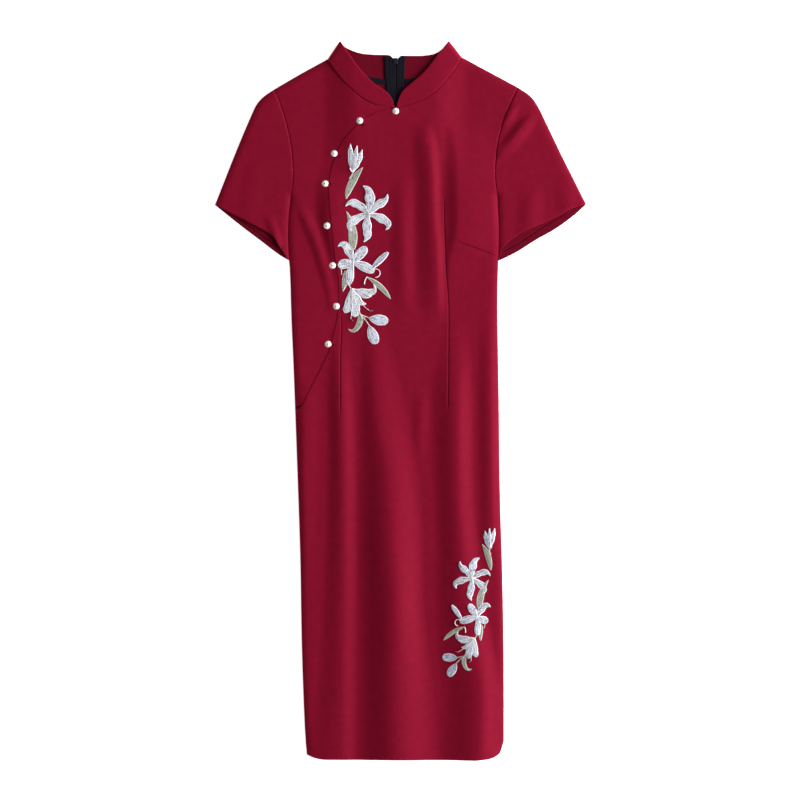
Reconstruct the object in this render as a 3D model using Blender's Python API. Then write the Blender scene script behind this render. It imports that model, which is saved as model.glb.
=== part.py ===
"""A short-sleeved cheongsam dress, laid flat on its back: run with blender --background --python part.py

The hem is at -Y and the collar at +Y, and +Z is up from the surface that the dress lies on. Left and right
in the names are the wearer's, so the wearer's left is at +X. Every table is in millimetres. A curve's rows
are the points that its edge goes through, and a fold's rows follow its crest.
"""

import math

import bmesh
import bpy
import numpy as np

MM = 0.001

# Thicknesses and clearances
CLOTH = 1.2  # one layer of crepe
COLLAR_CLOTH = 2.0  # two layers and their stiffening
GAP = 0.3  # between layers
SEAM = 0.4  # between the edges of pieces that are sewn together
UNDERARM_SEAM = 0.9  # more than that at the underarm, where both pieces bend down
UNDERARM_SHARE = 0.36  # the share of the armhole over which it falls to nothing
LEVEL = 5.0  # top of the front where it lies plain on the back
ROLL = 12.0  # how far in from a fold the front reaches its level
COLLAR_ROLL, UNDER_ROLL = 8.0, 2.5  # the same for the collar's front band, and for a lower layer
EDGE = CLOTH + GAP  # foot of the front's rolled edge, just over the back
UNDERLAP_DROP = 2.05  # how far the layer under the flap lies below the flap's top
UNDERLAP_BLEND = 45.0  # the layer is back at the front's level this far from the flap

# The stiff collar and the zip hold the neck up off the surface
NECK_LIFT = 4.5
NECK_RISE = 3.0  # how much further the front stands off the back there
NECK_X = -8.0
THROAT_EASE = 0.25  # the share by which the collar's front corners are drawn back from each other
LIFT_FROM_Y, LIFT_FULL_Y = 300.0, 430.0
LIFT_FULL_X, LIFT_TO_X = 58.0, 115.0

# Zip
ZIP_TOP, ZIP_FOOT = 537.5, 40.0
ZIP_STEP = (484.0, 496.0)  # the zip climbs from the back onto the thicker collar here
TAPE_CLOTH = 1.0
TAPE_EDGE = [(440, 12.5), (483, 12.6), (504, 14.7), (537.5, 16.4)]  # y, half of the two tapes' width
TAPE_AWRY = 0.9  # how far they lie to the right of the seam
NOTCH_FOOT, NOTCH_HALF = 532.0, 8.0  # the tapes' ends are turned down to a V
CHAIN_HALF, CHAIN_HIGH = 2.0, 1.6
COLLAR_SLIT = [(0.7, GAP / 2), (0.85, 3.2), (1.0, 8.6)]  # share of its height, half of its opening behind
COLLAR_GIVES = 28.0  # the cloth is drawn aside for that opening within this of the middle
BINDING_WIDE = 8.0
BINDING_DROP = 4.8  # how far its lower edge lies below the neck seam
BINDING_CLOTH = 1.0
BINDING_STOPS = np.linspace(0.13, 0.8, 10)  # shares of the neck seam's length
BINDING_Y = 504.0  # where it meets the tape

SLIDER_Y, SLIDER_WIDE, SLIDER_LONG = 530.0, 6.6, 9.2
SLIDER_TOP, SLIDER_SOLE = 1.2, 0.7  # thickness of the plate inside, and of the one outside
SLIDER_NECK = (0.9, -0.5, 3.8)  # half of its width, and where it starts and ends along Y
SLIDER_CHEEK = (1.4, 2.1, 1.2)  # where it starts and ends across X, and half of its length
SUNK = 0.4  # how far one part of the slider goes into the next
PULL_PIN, PULL_PIN_Z = 1.0, 1.9
PULL_THICK, PULL_TILT = 1.2, 3.6  # its outline's rows are y and half of its width there
KNUCKLE_WALL, KNUCKLE_HALF = 0.8, 1.1  # round the pin
EYE_HALF = 3.0  # half length of the cutter that makes the pin's hole
PULL_OUTLINE = [(-0.6, 1.1), (-3, 1.1), (-7, 1.9), (-12, 2.8), (-15.5, 2.9), (-17.6, 2.0), (-18.4, 0.7)]

# Buttons
PEARL = 10.4
SHANK = 1.4
PEARL_OVER_FLAP = 1.4  # room for the loop under the pearl
LOOP_CORD = 1.1
LOOP_OVER_FLAP = 0.6
LOOP_ROUND = 1.65  # from the shank's middle to the cord's
LOOP_ENDS = 0.75  # half of the spacing of the cord's two ends
LOOP_WAIST = 0.9  # the cord's two sides draw in to this share of the round
LOOP_LEG, LOOP_LEG_NECK = 10.5, 4.6

# Edges of the cut, (x, y)
RIGHT_SIDE = [
    (-146, -551), (-148, -530), (-151, -466), (-154, -373), (-156, -248), (-159, -154), (-164, -14),
]  # fmt: skip
RIGHT_SIDE_UPPER = [
    (-164, -14), (-167, 64), (-169.8, 126), (-172.3, 205), (-174.8, 230), (-175.6, 262), (-174.6, 291),
    (-171, 318),
]  # fmt: skip
LEFT_SIDE = [(161, -530), (161, -466), (160.5, -373), (158, -248), (155, -154), (153, 2)]
LEFT_SIDE_UPPER = [(153, 2), (152, 64), (151, 126), (151, 173), (152.5, 225), (153.5, 262), (151, 320)]
RIGHT_HEM_CORNER = [(-120, -559.3), (-134, -556.5), (-146, -551)]
LEFT_HEM_CORNER = [(116, -560), (137, -558.5), (153, -551), (161, -530)]
RIGHT_ARMHOLE = [
    (-171, 318), (-167.5, 342), (-168, 366), (-170.5, 396), (-178, 432), (-188, 464), (-197, 486),
]  # fmt: skip
LEFT_ARMHOLE = [(151, 320), (147.5, 345), (147.5, 368), (150.5, 399), (160, 438), (171, 465), (183, 489)]
RIGHT_SHOULDER = [(-197, 486), (-154, 511), (-114, 533)]
LEFT_SHOULDER = [(183, 489), (138, 513), (96, 536)]
RIGHT_NECK = [
    (-8, 457), (-15, 458), (-33, 460), (-48, 465), (-63, 474), (-88, 497), (-108, 522), (-114, 533),
]  # fmt: skip
LEFT_NECK = [(-8, 457), (-1, 458.5), (15, 462), (30, 468), (44, 476), (59, 487), (83, 515), (96, 536)]
RIGHT_BACK_NECK = [(-8, 498), (-30, 499), (-54, 504), (-76, 512), (-98, 522), (-114, 533)]
LEFT_BACK_NECK = [(-8, 498), (14, 499), (38, 504), (60, 513), (80, 524), (96, 536)]
CENTRE_BACK = [(6, -559.5), (2, -300), (-3, 0), (-7, 300), (-8, 498)]
FLAP = [
    (-164, -14), (-154, -7), (-145, 10), (-131, 37), (-119, 61), (-110, 81), (-106, 98), (-101, 117),
    (-97.5, 138), (-96, 160), (-96.5, 181), (-98, 200), (-102, 224), (-106, 262), (-109.5, 295), (-112, 324),
    (-111.5, 338), (-108, 361), (-99, 387), (-89, 406), (-70, 428), (-60, 438), (-45, 446), (-26, 453.5),
    (-8, 457),
]  # fmt: skip
UNDERLAP = [
    (-152, -5.5), (-138, -3), (-120, 22), (-105, 50), (-93, 74), (-86, 100), (-81, 130), (-80, 165),
    (-82, 200), (-87, 240), (-93, 290), (-95.5, 325), (-92, 358), (-84, 382), (-73, 403), (-54, 424),
    (-34, 437), (-16, 446),
]  # fmt: skip

# Edges of the sleeves, from the shoulder or the outer fold
RIGHT_SLEEVE_FOLD = [(-197, 486), (-213, 475), (-224, 463), (-236, 438), (-257, 388), (-289.4, 306)]
LEFT_SLEEVE_FOLD = [(183, 489), (202, 476), (214, 460), (225, 438), (249, 388), (289.4, 307)]
RIGHT_UNDERARM = [(-171.8, 317.5), (-175.3, 291), (-176.3, 262), (-175.5, 230), (-175, 220)]
LEFT_UNDERARM = [(151.9, 319.5), (153.4, 298), (154.2, 272), (154.1, 250), (153.4, 219)]
RIGHT_CUFF_FRONT = [
    (-289.4, 306), (-271, 296), (-247, 284), (-222, 271), (-200, 258), (-189, 241), (-175, 220),
]  # fmt: skip
LEFT_CUFF_FRONT = [
    (289.4, 307), (266, 300), (242, 287), (212, 273), (190, 264), (170, 249), (159, 238.5), (153.4, 219),
]  # fmt: skip
RIGHT_CUFF_BACK = [(-289.4, 306), (-252, 276), (-219, 251), (-190, 229), (-175, 220)]
LEFT_CUFF_BACK = [(289.4, 307), (272, 291), (242, 269), (212, 252), (180, 232), (153.4, 219)]

# Top edges of the collar, from the front end to the tip of the fold, and on to the centre back
RIGHT_COLLAR_FRONT = [
    (-10, 460.5), (-13.4, 470), (-21, 480), (-42, 495), (-66, 520), (-85, 547), (-95, 561.1),
]  # fmt: skip
LEFT_COLLAR_FRONT = [(-5.6, 461), (-2.8, 470), (3, 482), (14, 492.5), (36, 511.5), (56, 536), (76, 561.1)]
RIGHT_COLLAR_BACK = [(-95, 561.1), (-87, 552), (-76, 546), (-62, 541.5), (-44, 539.5), (-8, 539)]
LEFT_COLLAR_BACK = [(76, 561.1), (66, 549), (54, 541), (38, 538), (20, 537.5), (-8, 538)]

# Folds: each row is x, y, height, and how far the slope reaches to the left and to the right of the crest
FOLDS = {
    "right_hip": [
        (-93, -560, 4.0, 60, 26), (-92, -420, 4.0, 38, 25), (-89, -250, 4.5, 32, 23),
        (-90, -80, 4.8, 26, 23), (-93, 15, 4.2, 24, 23), (-95, 70, 2.0, 20, 21), (-96, 112, 0.0, 20, 20),
    ],
    "right_side": [
        (-154, -300, 0.0, 14, 24), (-152, -200, 1.0, 16, 26), (-149, -90, 1.6, 18, 26),
        (-147, 0, 1.5, 18, 26), (-146, 50, 0.0, 18, 26),
    ],
    "skirt_centre": [
        (-6, -560, 12.0, 62, 70), (-8, -451, 12.5, 60, 64), (-8, -334, 13.5, 60, 48),
        (-14, -217, 12.3, 56, 52), (-20, -108, 9.0, 48, 50), (-33, -30, 6.0, 36, 50), (-40, 60, 3.0, 26, 34),
        (-46, 122, 0.0, 22, 25),
    ],
    "left_hip": [
        (122, -560, 10.0, 66, 38), (124, -451, 10.0, 64, 36), (111, -373, 8.5, 58, 36),
        (100, -310, 7.5, 50, 34), (94, -217, 7.0, 42, 30), (89.5, -154, 7.0, 40, 28),
        (88, -61, 7.4, 42, 28), (88, 2, 6.6, 43, 28), (88, 33, 4.8, 44, 26), (88, 64, 3.0, 36, 26),
        (86, 95, 1.4, 28, 26), (82, 126, 0.0, 20, 22),
    ],
    "mid_hip": [
        (28, -100, 0.0, 16, 16), (30, -60, 1.1, 16, 16), (32, -15, 1.3, 16, 16), (32, 30, 0.0, 16, 16),
    ],
    "left_side": [
        (142, -260, 0.0, 20, 16), (141, -180, 2.5, 22, 16), (140, -70, 3.0, 22, 16), (139, 40, 2.5, 22, 16),
        (138, 150, 0.0, 18, 16),
    ],
    "centre_bodice": [
        (7, 120, 0.0, 24, 20), (5, 189, 2.2, 24, 20), (4, 282, 2.4, 24, 20), (2, 372, 0.0, 24, 20),
    ],
    "bust_inner": [
        (58, 120, 0.0, 30, 16), (57, 157, 2.8, 32, 16), (56, 190, 4.2, 34, 16), (55, 228, 5.0, 34, 16),
        (53.5, 251, 5.0, 33, 16), (50, 298, 4.8, 30, 16), (49.5, 329, 4.9, 29, 16), (48, 360, 4.9, 30, 16),
        (44.5, 391, 4.5, 30, 17), (40, 415, 2.8, 26, 17), (37, 436, 0.0, 24, 20),
    ],
    "bust_outer": [
        (78, 165, 0.0, 10, 30), (78, 196, 0.9, 11, 40), (80, 228, 2.2, 13, 55), (88, 251, 4.2, 22, 70),
        (92, 278, 4.7, 24, 78), (92, 314, 4.8, 25, 78), (91, 366, 4.5, 25, 76), (89, 391, 3.6, 23, 70),
        (86, 415, 2.4, 20, 60), (84, 436, 0.0, 18, 50),
    ],
    "flap_edge": [
        (-96, 155, 0.0, 8, 20), (-97.5, 189, 1.2, 9, 28), (-101.5, 220, 3.2, 14, 44),
        (-105.5, 251, 5.0, 19, 58), (-108, 282, 5.6, 24, 62), (-109, 313, 4.8, 28, 56),
        (-110.5, 345, 1.8, 24, 38), (-112, 372, 0.0, 16, 20),
    ],
    "underarm_drag": [
        (-105, 132, 0.0, 10, 14), (-110, 172, 1.6, 12, 16), (-120, 212, 2.6, 14, 17),
        (-133, 251, 2.8, 14, 17), (-146, 281, 2.4, 14, 15), (-160, 312, 0.0, 10, 10),
    ],
}  # fmt: skip
LEFT_SLEEVE_FOLDS = {
    "cap_lower": [
        (157, 388, 1.8, 12, 18), (180, 415, 4.0, 14, 20), (196, 434, 3.4, 13, 18), (211, 447, 0.0, 10, 14),
    ],
    "cap_upper": [(162, 430, 1.2, 9, 10), (172, 450, 2.5, 10, 12), (184, 468, 0.0, 8, 10)],
    "cuff": [(200, 268, 2.0, 24, 26), (203, 300, 2.2, 24, 26), (206, 345, 0.0, 20, 22)],
    "cuff_outer": [(264, 290, 1.5, 24, 18), (260, 315, 1.5, 24, 18), (250, 350, 0.0, 20, 16)],
}  # fmt: skip
RIGHT_SLEEVE_FOLDS = {
    "cuff_corner": [(-192, 246, 2.4, 10, 11), (-198, 266, 2.2, 10, 12), (-208, 292, 0.0, 12, 12)],
    "cuff": [(-238, 286, 0.6, 20, 20), (-232, 330, 0.8, 22, 22), (-224, 380, 0.0, 20, 20)],
}

# (x, y) of each pearl's centre, from the neck down the flap's edge
NECK_PEARL = (-7.5, 451.5)
FLAP_PEARLS = [
    (-63.5, 436.5), (-103.4, 385.6), (-117.5, 338.8), (-114.8, 273), (-106, 211.2), (-100, 147.7),
    (-112.9, 88.8),
]  # fmt: skip

# Shares of a curve's length where its sections fall, closer together near a fold
ARMHOLE_STOPS = np.array([0, 0.03, 0.08, 0.16, 0.26, 0.37, 0.48, 0.59, 0.7, 0.8, 0.88, 0.94, 0.975, 1.0])
SHOULDER_STOPS = np.array([0, 0.2, 0.4, 0.6, 0.8, 0.985])  # they stop short of the corner at the neck
RIGHT_FRONT_STOPS = np.linspace(0.018, 1, 12)  # up the side, from just above the flap's foot
COLLAR_STOPS = np.array([0, 0.25, 0.5, 0.7, 0.85, 1.0])  # up the collar
FLAP_STOPS = np.append([0, 0.012, 0.03], np.linspace(0.07, 1, 15))
NECK_STOPS = np.array([0, 0.06, 0.16, 0.28, 0.4, 0.52, 0.64, 0.76, 0.86, 0.93, 0.97, 1.0])
BACK_NECK_STOPS = np.array([0, 0.18, 0.34, 0.5, 0.66, 0.82, 0.92, 0.97, 1.0])
CENTRE_STOPS = np.append(np.linspace(0, 0.83, 9), np.linspace(0.83, 1, 11)[1:])
SLEEVE_SECTIONS = 9
EDGE_INSETS = np.array([0.0, 0.8, 2.6, 6.0, 11.0])  # columns this near a panel's side
INSETS_WHOLE_ROW = 70.0  # a shorter row has its insets scaled down


# ---------------------------------------------------------------- curves and heights


def ease(share):
    """0 to 1, level at both ends."""
    t = np.clip(share, 0.0, 1.0)
    return t * t * (3 - 2 * t)


def dense(rows, per_span=12):
    """A smooth curve through the rows of numbers, as many more rows (a centripetal Catmull-Rom spline)."""
    p = np.array(rows, float)
    knots = np.concatenate([[0], np.cumsum(np.linalg.norm(np.diff(p[:, :2], axis=0), axis=1) ** 0.5)])
    chord = np.diff(p, axis=0) / np.diff(knots)[:, None]
    tangent = np.vstack([chord[:1], (chord[:-1] + chord[1:]) / 2, chord[-1:]])
    made = [p[:1]]
    for i, span in enumerate(np.diff(knots)):
        t = np.linspace(0, 1, per_span + 1)[1:, None]
        made.append(
            (2 * t**3 - 3 * t**2 + 1) * p[i]
            + (t**3 - 2 * t**2 + t) * span * tangent[i]
            + (3 * t**2 - 2 * t**3) * p[i + 1]
            + (t**3 - t**2) * span * tangent[i + 1]
        )
    return np.vstack(made)


def along(rows, stops):
    """Points of the curve at these shares of its length, or at that many even ones."""
    if np.isscalar(stops):
        stops = np.linspace(0, 1, stops)
    line = dense(rows)
    run = np.concatenate([[0], np.cumsum(np.linalg.norm(np.diff(line, axis=0), axis=1))])
    at = np.asarray(stops) * run[-1]
    return np.stack([np.interp(at, run, line[:, k]) for k in range(line.shape[1])], axis=1)


def nearest(xy, line):
    """(distance, signed side, row) of the point of the line that is nearest to each xy."""
    start, run = line[:-1, :2], np.diff(line[:, :2], axis=0)
    offset = xy[..., None, :] - start
    t = np.clip((offset * run).sum(-1) / (run**2).sum(-1), 0, 1)
    away = offset - t[..., None] * run
    distance = np.linalg.norm(away, axis=-1)
    best = distance.argmin(-1)[..., None]
    side = np.take_along_axis(run[:, 0] * away[..., 1] - run[:, 1] * away[..., 0], best, -1)[..., 0]
    row = line[best[..., 0]] + np.take_along_axis(t, best, -1) * np.diff(line, axis=0)[best[..., 0]]
    return np.take_along_axis(distance, best, -1)[..., 0], side, row


def folds_height(xy, folds):
    """Height that the folds add at each xy."""
    total = np.zeros(xy.shape[:-1])
    for rows in folds.values():
        distance, side, row = nearest(xy, dense(rows, 4))
        reach = np.where(side > 0, row[..., 3], row[..., 4])
        total += row[..., 2] * (0.5 + 0.5 * np.cos(np.pi * np.clip(distance / reach, 0, 1)))
    return total


def near_neck(xy):
    """1 round the neck, falling to 0 lower down and out towards the shoulders."""
    x, y = xy[..., 0], xy[..., 1]
    up = ease((y - LIFT_FROM_Y) / (LIFT_FULL_Y - LIFT_FROM_Y))
    return up * (1 - ease((abs(x - NECK_X) - LIFT_FULL_X) / (LIFT_TO_X - LIFT_FULL_X)))


def lift(xy):
    """How far the neck is held off the surface at each xy."""
    return NECK_LIFT * near_neck(xy)


def rolled(xy, lines, level, reach=ROLL):
    """Height over the surface of a layer that rises from its folded edges, the lines, to its level."""
    inset = np.min([nearest(xy, dense(line))[0] for line in lines], axis=0)
    share = np.sqrt(1 - (1 - np.clip(inset / reach, 0, 1)) ** 2)
    return EDGE + (level - EDGE) * share


def moved(line, distance):
    """The line, moved to its left, or to its right if the distance is negative."""
    run = np.gradient(line, axis=0)
    left = np.stack([-run[:, 1], run[:, 0]], axis=1)
    return line + distance * left / np.linalg.norm(left, axis=1, keepdims=True)


def run_on(lines):
    """One line from several that end where the next starts."""
    return np.vstack([line[:-1] for line in lines[:-1]] + [lines[-1]])


BODY_FOLDED_EDGES = [
    RIGHT_SIDE, RIGHT_SIDE_UPPER, LEFT_SIDE, LEFT_SIDE_UPPER, LEFT_HEM_CORNER[2:], RIGHT_SHOULDER,
    LEFT_SHOULDER,
]  # fmt: skip


def front_height(xy):
    """Top of the front, before the lift of the neck."""
    return rolled(xy, BODY_FOLDED_EDGES, LEVEL + NECK_RISE * near_neck(xy) + folds_height(xy, FOLDS))


def right_front_height(xy):
    """The layer that goes under the flap: lower there, and at the front's level further off."""
    distance, side, _ = nearest(xy, dense(FLAP))
    away = np.where(side > 0, distance, 0.0)
    drop = UNDERLAP_DROP * (1 - ease(away / UNDERLAP_BLEND))
    return np.maximum(front_height(xy) - drop, np.minimum(front_height(xy), EDGE + CLOTH))


# ---------------------------------------------------------------- solids


def colour(name, base, roughness, metallic=0.0, sheen=0.0):
    made = bpy.data.materials.new(name)
    made.use_nodes = True
    shader = made.node_tree.nodes["Principled BSDF"]
    shader.inputs["Base Color"].default_value = (*base, 1)
    shader.inputs["Roughness"].default_value = roughness
    shader.inputs["Metallic"].default_value = metallic
    shader.inputs["Sheen Weight"].default_value = sheen
    return made


def add(name, data, material, at=(0, 0, 0), turn=(0, 0, 0), parent=None):
    made = bpy.data.objects.new(name, data)
    if not data.materials:
        data.materials.append(material)
    made.location = [v * MM for v in at]
    made.rotation_euler = turn
    made.parent = parent
    bpy.context.scene.collection.objects.link(made)
    return made


def mesh_of(name, points, faces, smooth=True):
    mesh = bpy.data.meshes.new(name)
    mesh.from_pydata((np.asarray(points) * MM).tolist(), [], faces)
    for polygon in mesh.polygons:
        polygon.use_smooth = smooth
    mesh.set_sharp_from_angle(angle=math.radians(50))
    return mesh


def ladder(left, right, middle, insets=EDGE_INSETS):
    """Rows of (x, y) from each left point to its right one, with close columns by both sides."""
    rows = []
    for a, b in zip(left, right):
        length = np.linalg.norm(b - a)
        near = insets * min(1.0, length / INSETS_WHOLE_ROW) / length
        even = np.linspace(near[-1], 1 - near[-1], middle + 2)[1:-1]
        share = np.concatenate([near, even, 1 - near[::-1]])
        rows.append(a + share[:, None] * (b - a))
    return np.array(rows)


def normals_of(grid, ring):
    """Unit normals of a grid of points. Along a ring, the last column is followed by the first."""
    down = np.gradient(grid, axis=0)
    if ring:
        across = (np.roll(grid, -1, axis=1) - np.roll(grid, 1, axis=1)) / 2
    else:
        across = np.gradient(grid, axis=1)
    normal = np.cross(across, down)
    return normal / np.linalg.norm(normal, axis=-1, keepdims=True)


def wall(name, outer, thickness, material, ring=False, lowest=None):
    """A closed wall of cloth under a grid of outer points. No inner point goes under its lowest height."""
    inner = outer - thickness * normals_of(outer, ring)
    if lowest is not None:
        inner[..., 2] = np.maximum(inner[..., 2], lowest)
    rows, columns = outer.shape[:2]
    points = np.concatenate([outer.reshape(-1, 3), inner.reshape(-1, 3)])
    below = rows * columns
    spans = columns if ring else columns - 1
    faces = []
    for i in range(rows - 1):
        for j in range(spans):
            a, b = i * columns + j, i * columns + (j + 1) % columns
            c, d = a + columns, b + columns
            faces += [(a, b, d, c), (a + below, c + below, d + below, b + below)]
    for j in range(spans):
        a, b = j, (j + 1) % columns
        c, d = a + below - columns, b + below - columns
        faces += [(a, a + below, b + below, b), (c, d, d + below, c + below)]
    if not ring:
        for i in range(rows - 1):
            a, c = i * columns, (i + 1) * columns
            b, d = a + columns - 1, c + columns - 1
            faces += [(a, c, c + below, a + below), (b, b + below, d + below, d)]
    return add(name, mesh_of(name, points, faces), material)


def panel(name, flat, height, thickness, material, floor=None):
    """A wall of cloth that lies at height(xy) over a grid of flat (x, y)."""
    raised = lift(flat)
    outer = np.dstack([flat, height(flat) + raised])
    return wall(name, outer, thickness, material, lowest=None if floor is None else floor + raised)


def turned(name, profile, sides):
    """A solid turned about Z, from (radius, z) rows that start and end on the axis."""
    points, faces = [(0, 0, profile[0][1])], []
    for radius, z in profile[1:-1]:
        for k in range(sides):
            angle = 2 * math.pi * k / sides
            points.append((radius * math.cos(angle), radius * math.sin(angle), z))
    points.append((0, 0, profile[-1][1]))
    last = len(points) - 1
    for k in range(sides):
        n = (k + 1) % sides
        faces.append((0, 1 + n, 1 + k))
        faces.append((last, last - sides + k, last - sides + n))
        for ring in range(len(profile) - 3):
            a, b = 1 + ring * sides + k, 1 + ring * sides + n
            faces.append((a, b, b + sides, a + sides))
    return mesh_of(name, points, faces)


def block(name, low, high):
    """A box between two corners."""
    mesh = bpy.data.meshes.new(name)
    shape = bmesh.new()
    bmesh.ops.create_cube(shape, size=1.0)
    for vertex in shape.verts:
        vertex.co = [MM * (l + (c + 0.5) * (h - l)) for c, l, h in zip(vertex.co, low, high)]
    shape.to_mesh(mesh)
    shape.free()
    return mesh


def rod(name, radius, half_long, z, sides=20):
    """A round rod along X."""
    turns = 2 * np.pi * np.arange(sides) / sides
    ring = np.column_stack([radius * np.cos(turns), z + radius * np.sin(turns)])
    points = [(x, *yz) for x in (-half_long, half_long) for yz in ring]
    faces = [tuple(range(sides - 1, -1, -1)), tuple(range(sides, 2 * sides))]
    faces += [(k, (k + 1) % sides, (k + 1) % sides + sides, k + sides) for k in range(sides)]
    return mesh_of(name, points, faces)


def plate(name, outline, thick):
    """A flat plate from rows of y and half width, the same on each side of X = 0."""
    edge = [(-half, y) for y, half in outline] + [(half, y) for y, half in reversed(outline)]
    count = len(edge)
    points = [(x, y, z) for z in (-thick / 2, thick / 2) for x, y in edge]
    faces = [tuple(range(count - 1, -1, -1)), tuple(range(count, 2 * count))]
    faces += [(k, (k + 1) % count, (k + 1) % count + count, k + count) for k in range(count)]
    return mesh_of(name, points, faces, smooth=False)


def join(whole, others, operation="UNION"):
    """Joins or cuts a solid with others, which stay as hidden helpers."""
    for other in others:
        other.hide_render = True
        other.display_type = "WIRE"
        boolean = whole.modifiers.new(other.name, "BOOLEAN")
        boolean.operation = operation
        boolean.object = other


# ---------------------------------------------------------------- the dress


def front_pieces(red):
    """The main front, which wraps over to the right as a flap, and the right front under it."""
    right = run_on([
        along(RIGHT_HEM_CORNER, 4),
        along(RIGHT_SIDE, 14),
        along(FLAP, FLAP_STOPS),
        along(LEFT_NECK, NECK_STOPS),
    ])
    left = run_on([
        along(LEFT_HEM_CORNER, 4),
        along(LEFT_SIDE, 14),
        along(LEFT_SIDE_UPPER, 16),
        along(LEFT_ARMHOLE, ARMHOLE_STOPS),
    ])
    panel("front_main", ladder(right, left, 20), front_height, CLOTH, red, floor=EDGE)

    outside = run_on([along(RIGHT_SIDE_UPPER, RIGHT_FRONT_STOPS), along(RIGHT_ARMHOLE, ARMHOLE_STOPS)])
    inside = run_on([along(UNDERLAP, 15), along(RIGHT_NECK, NECK_STOPS[1:])])
    panel("front_right", ladder(outside, inside, 8), right_front_height, CLOTH, red, floor=EDGE)


def back_pieces(red):
    """Two halves that lie flat on the surface and meet at the zip."""
    centre = along(CENTRE_BACK, CENTRE_STOPS)
    neck_stops = np.append(BACK_NECK_STOPS[:-1], SHOULDER_STOPS[-1])
    edges = {
        "right": (
            RIGHT_HEM_CORNER, RIGHT_SIDE, RIGHT_SIDE_UPPER, RIGHT_ARMHOLE, RIGHT_SHOULDER, RIGHT_BACK_NECK,
        ),  # fmt: skip
        "left": (LEFT_HEM_CORNER, LEFT_SIDE, LEFT_SIDE_UPPER, LEFT_ARMHOLE, LEFT_SHOULDER, LEFT_BACK_NECK),
    }
    for side, (corner, lower, upper, armhole, shoulder, neck) in edges.items():
        away = -1 if side == "right" else 1
        lines = [along(corner, 3), along(lower, 4), along(upper, 4), along(armhole, ARMHOLE_STOPS)]
        outside = run_on(lines + [along(shoulder, SHOULDER_STOPS)])
        inside = run_on([centre + (away * GAP / 2, 0), along(neck, neck_stops)])
        left, right = (outside, inside) if away < 0 else (inside, outside)
        flat = ladder(left, right, 7, insets=np.array([0.0, 3.0]))
        panel("back_" + side, flat, lambda xy: np.full(xy.shape[:-1], CLOTH), CLOTH, red, floor=0.0)


def flattened_tube(top, bottom, top_height, fold_lines):
    """Outer points of a pressed tube's layers: an upper one, and a lower one that lies on the surface."""
    upper = np.dstack([top, top_height(top) + lift(top)])
    rise = rolled(bottom, fold_lines, 2 * EDGE, reach=UNDER_ROLL)
    lower = np.dstack([bottom, 2 * EDGE - rise + lift(bottom)])
    return upper, lower


def between_edges(start, end, first, last, stops):
    """Points between four edges (a Coons patch). Its rows run from the start edge to the end edge."""
    s = stops[:, None]
    rows = []
    for t, low, high in zip(np.linspace(0, 1, len(first)), first, last):
        ruled = (1 - t) * start + t * end
        corners = (1 - t) * ((1 - s) * start[0] + s * start[-1]) + t * ((1 - s) * end[0] + s * end[-1])
        rows.append(ruled + (1 - s) * low + s * high - corners)
    return np.array(rows)


def sleeve(name, edges, folds, away, red):
    """A short sleeve pressed flat: one tube, open at the armhole and at the cuff."""
    armhole, fold, underarm, cuff_front, cuff_back = edges
    stops = 1 - ARMHOLE_STOPS[::-1]
    seam = SEAM + UNDERARM_SEAM * (1 - ease(ARMHOLE_STOPS / UNDERARM_SHARE))
    start = moved(along(armhole, ARMHOLE_STOPS), -away * seam[:, None])[::-1]
    first, last = along(fold, SLEEVE_SECTIONS), along(underarm, SLEEVE_SECTIONS)
    first[0], last[0] = start[0], start[-1]
    layers = []
    for cuff in (cuff_front, cuff_back):
        end = along(cuff, stops)
        end[0], end[-1] = first[-1], last[-1]
        layers.append(between_edges(start, end, first, last, stops))

    def top_height(xy):
        return rolled(xy, [first, last], LEVEL + folds_height(xy, folds))

    upper, lower = flattened_tube(*layers, top_height, [first, last])
    ring = np.concatenate([upper, lower[:, -2:0:-1]], axis=1)
    return wall(name, ring if away > 0 else ring[:, ::-1], CLOTH, red, ring=True)


def collar_half(name, neck, back_neck, top_front, top_back, away, red):
    """Half of the stand collar, folded flat at its tip, so that its front band lies over its back one."""
    rows = COLLAR_STOPS[:, None, None]
    low_front = moved(along(neck, NECK_STOPS), away * SEAM)[::-1]
    high_front = along(top_front, NECK_STOPS)[::-1]
    low_back = moved(along(back_neck, BACK_NECK_STOPS), away * SEAM)[::-1]
    high_back = along(top_back, 1 - BACK_NECK_STOPS[::-1])
    low_front[-1] += THROAT_EASE * (low_front[-2] - low_front[-1])
    low_back[0], high_back[0] = low_front[0], high_front[0]
    front = low_front + rows * (high_front - low_front)
    back = low_back + rows * (high_back - low_back)
    slit = np.interp(rows[:, 0, 0], *np.transpose(COLLAR_SLIT))[:, None]
    out = away * (back[..., 0] - NECK_X)
    out = np.where(out < COLLAR_GIVES, slit + out * (1 - slit / COLLAR_GIVES), out)
    back[..., 0] = NECK_X + away * out
    fold = [np.stack([low_front[0], high_front[0]])]

    def top_height(xy):
        return rolled(xy, fold, LEVEL + NECK_RISE, reach=COLLAR_ROLL)

    upper, lower = flattened_tube(front, back, top_height, fold)
    strip = np.concatenate([upper[:, ::-1], lower[:, 1:]], axis=1)
    return wall(name, strip if away > 0 else strip[:, ::-1], COLLAR_CLOTH, red)


def centre_x(y):
    """X of the centre-back seam."""
    line = dense(CENTRE_BACK)
    return np.interp(y, line[:, 1], line[:, 0])


def zip_foot(y):
    """Height of the zip's underside over the lifted surface: on the back, and higher on the collar."""
    return CLOTH + GAP + (COLLAR_CLOTH - CLOTH) * ease((y - ZIP_STEP[0]) / (ZIP_STEP[1] - ZIP_STEP[0]))


def zip_strip(name, out, y, thick, material):
    """A strip of the zip: columns at distances out from the centre-back seam, and rows at each y."""
    flat = np.dstack([centre_x(y[:, 0])[:, None] + out, np.broadcast_to(y, out.shape)])
    return panel(name, flat, lambda xy: zip_foot(xy[..., 1]) + thick, thick, material)


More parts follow.
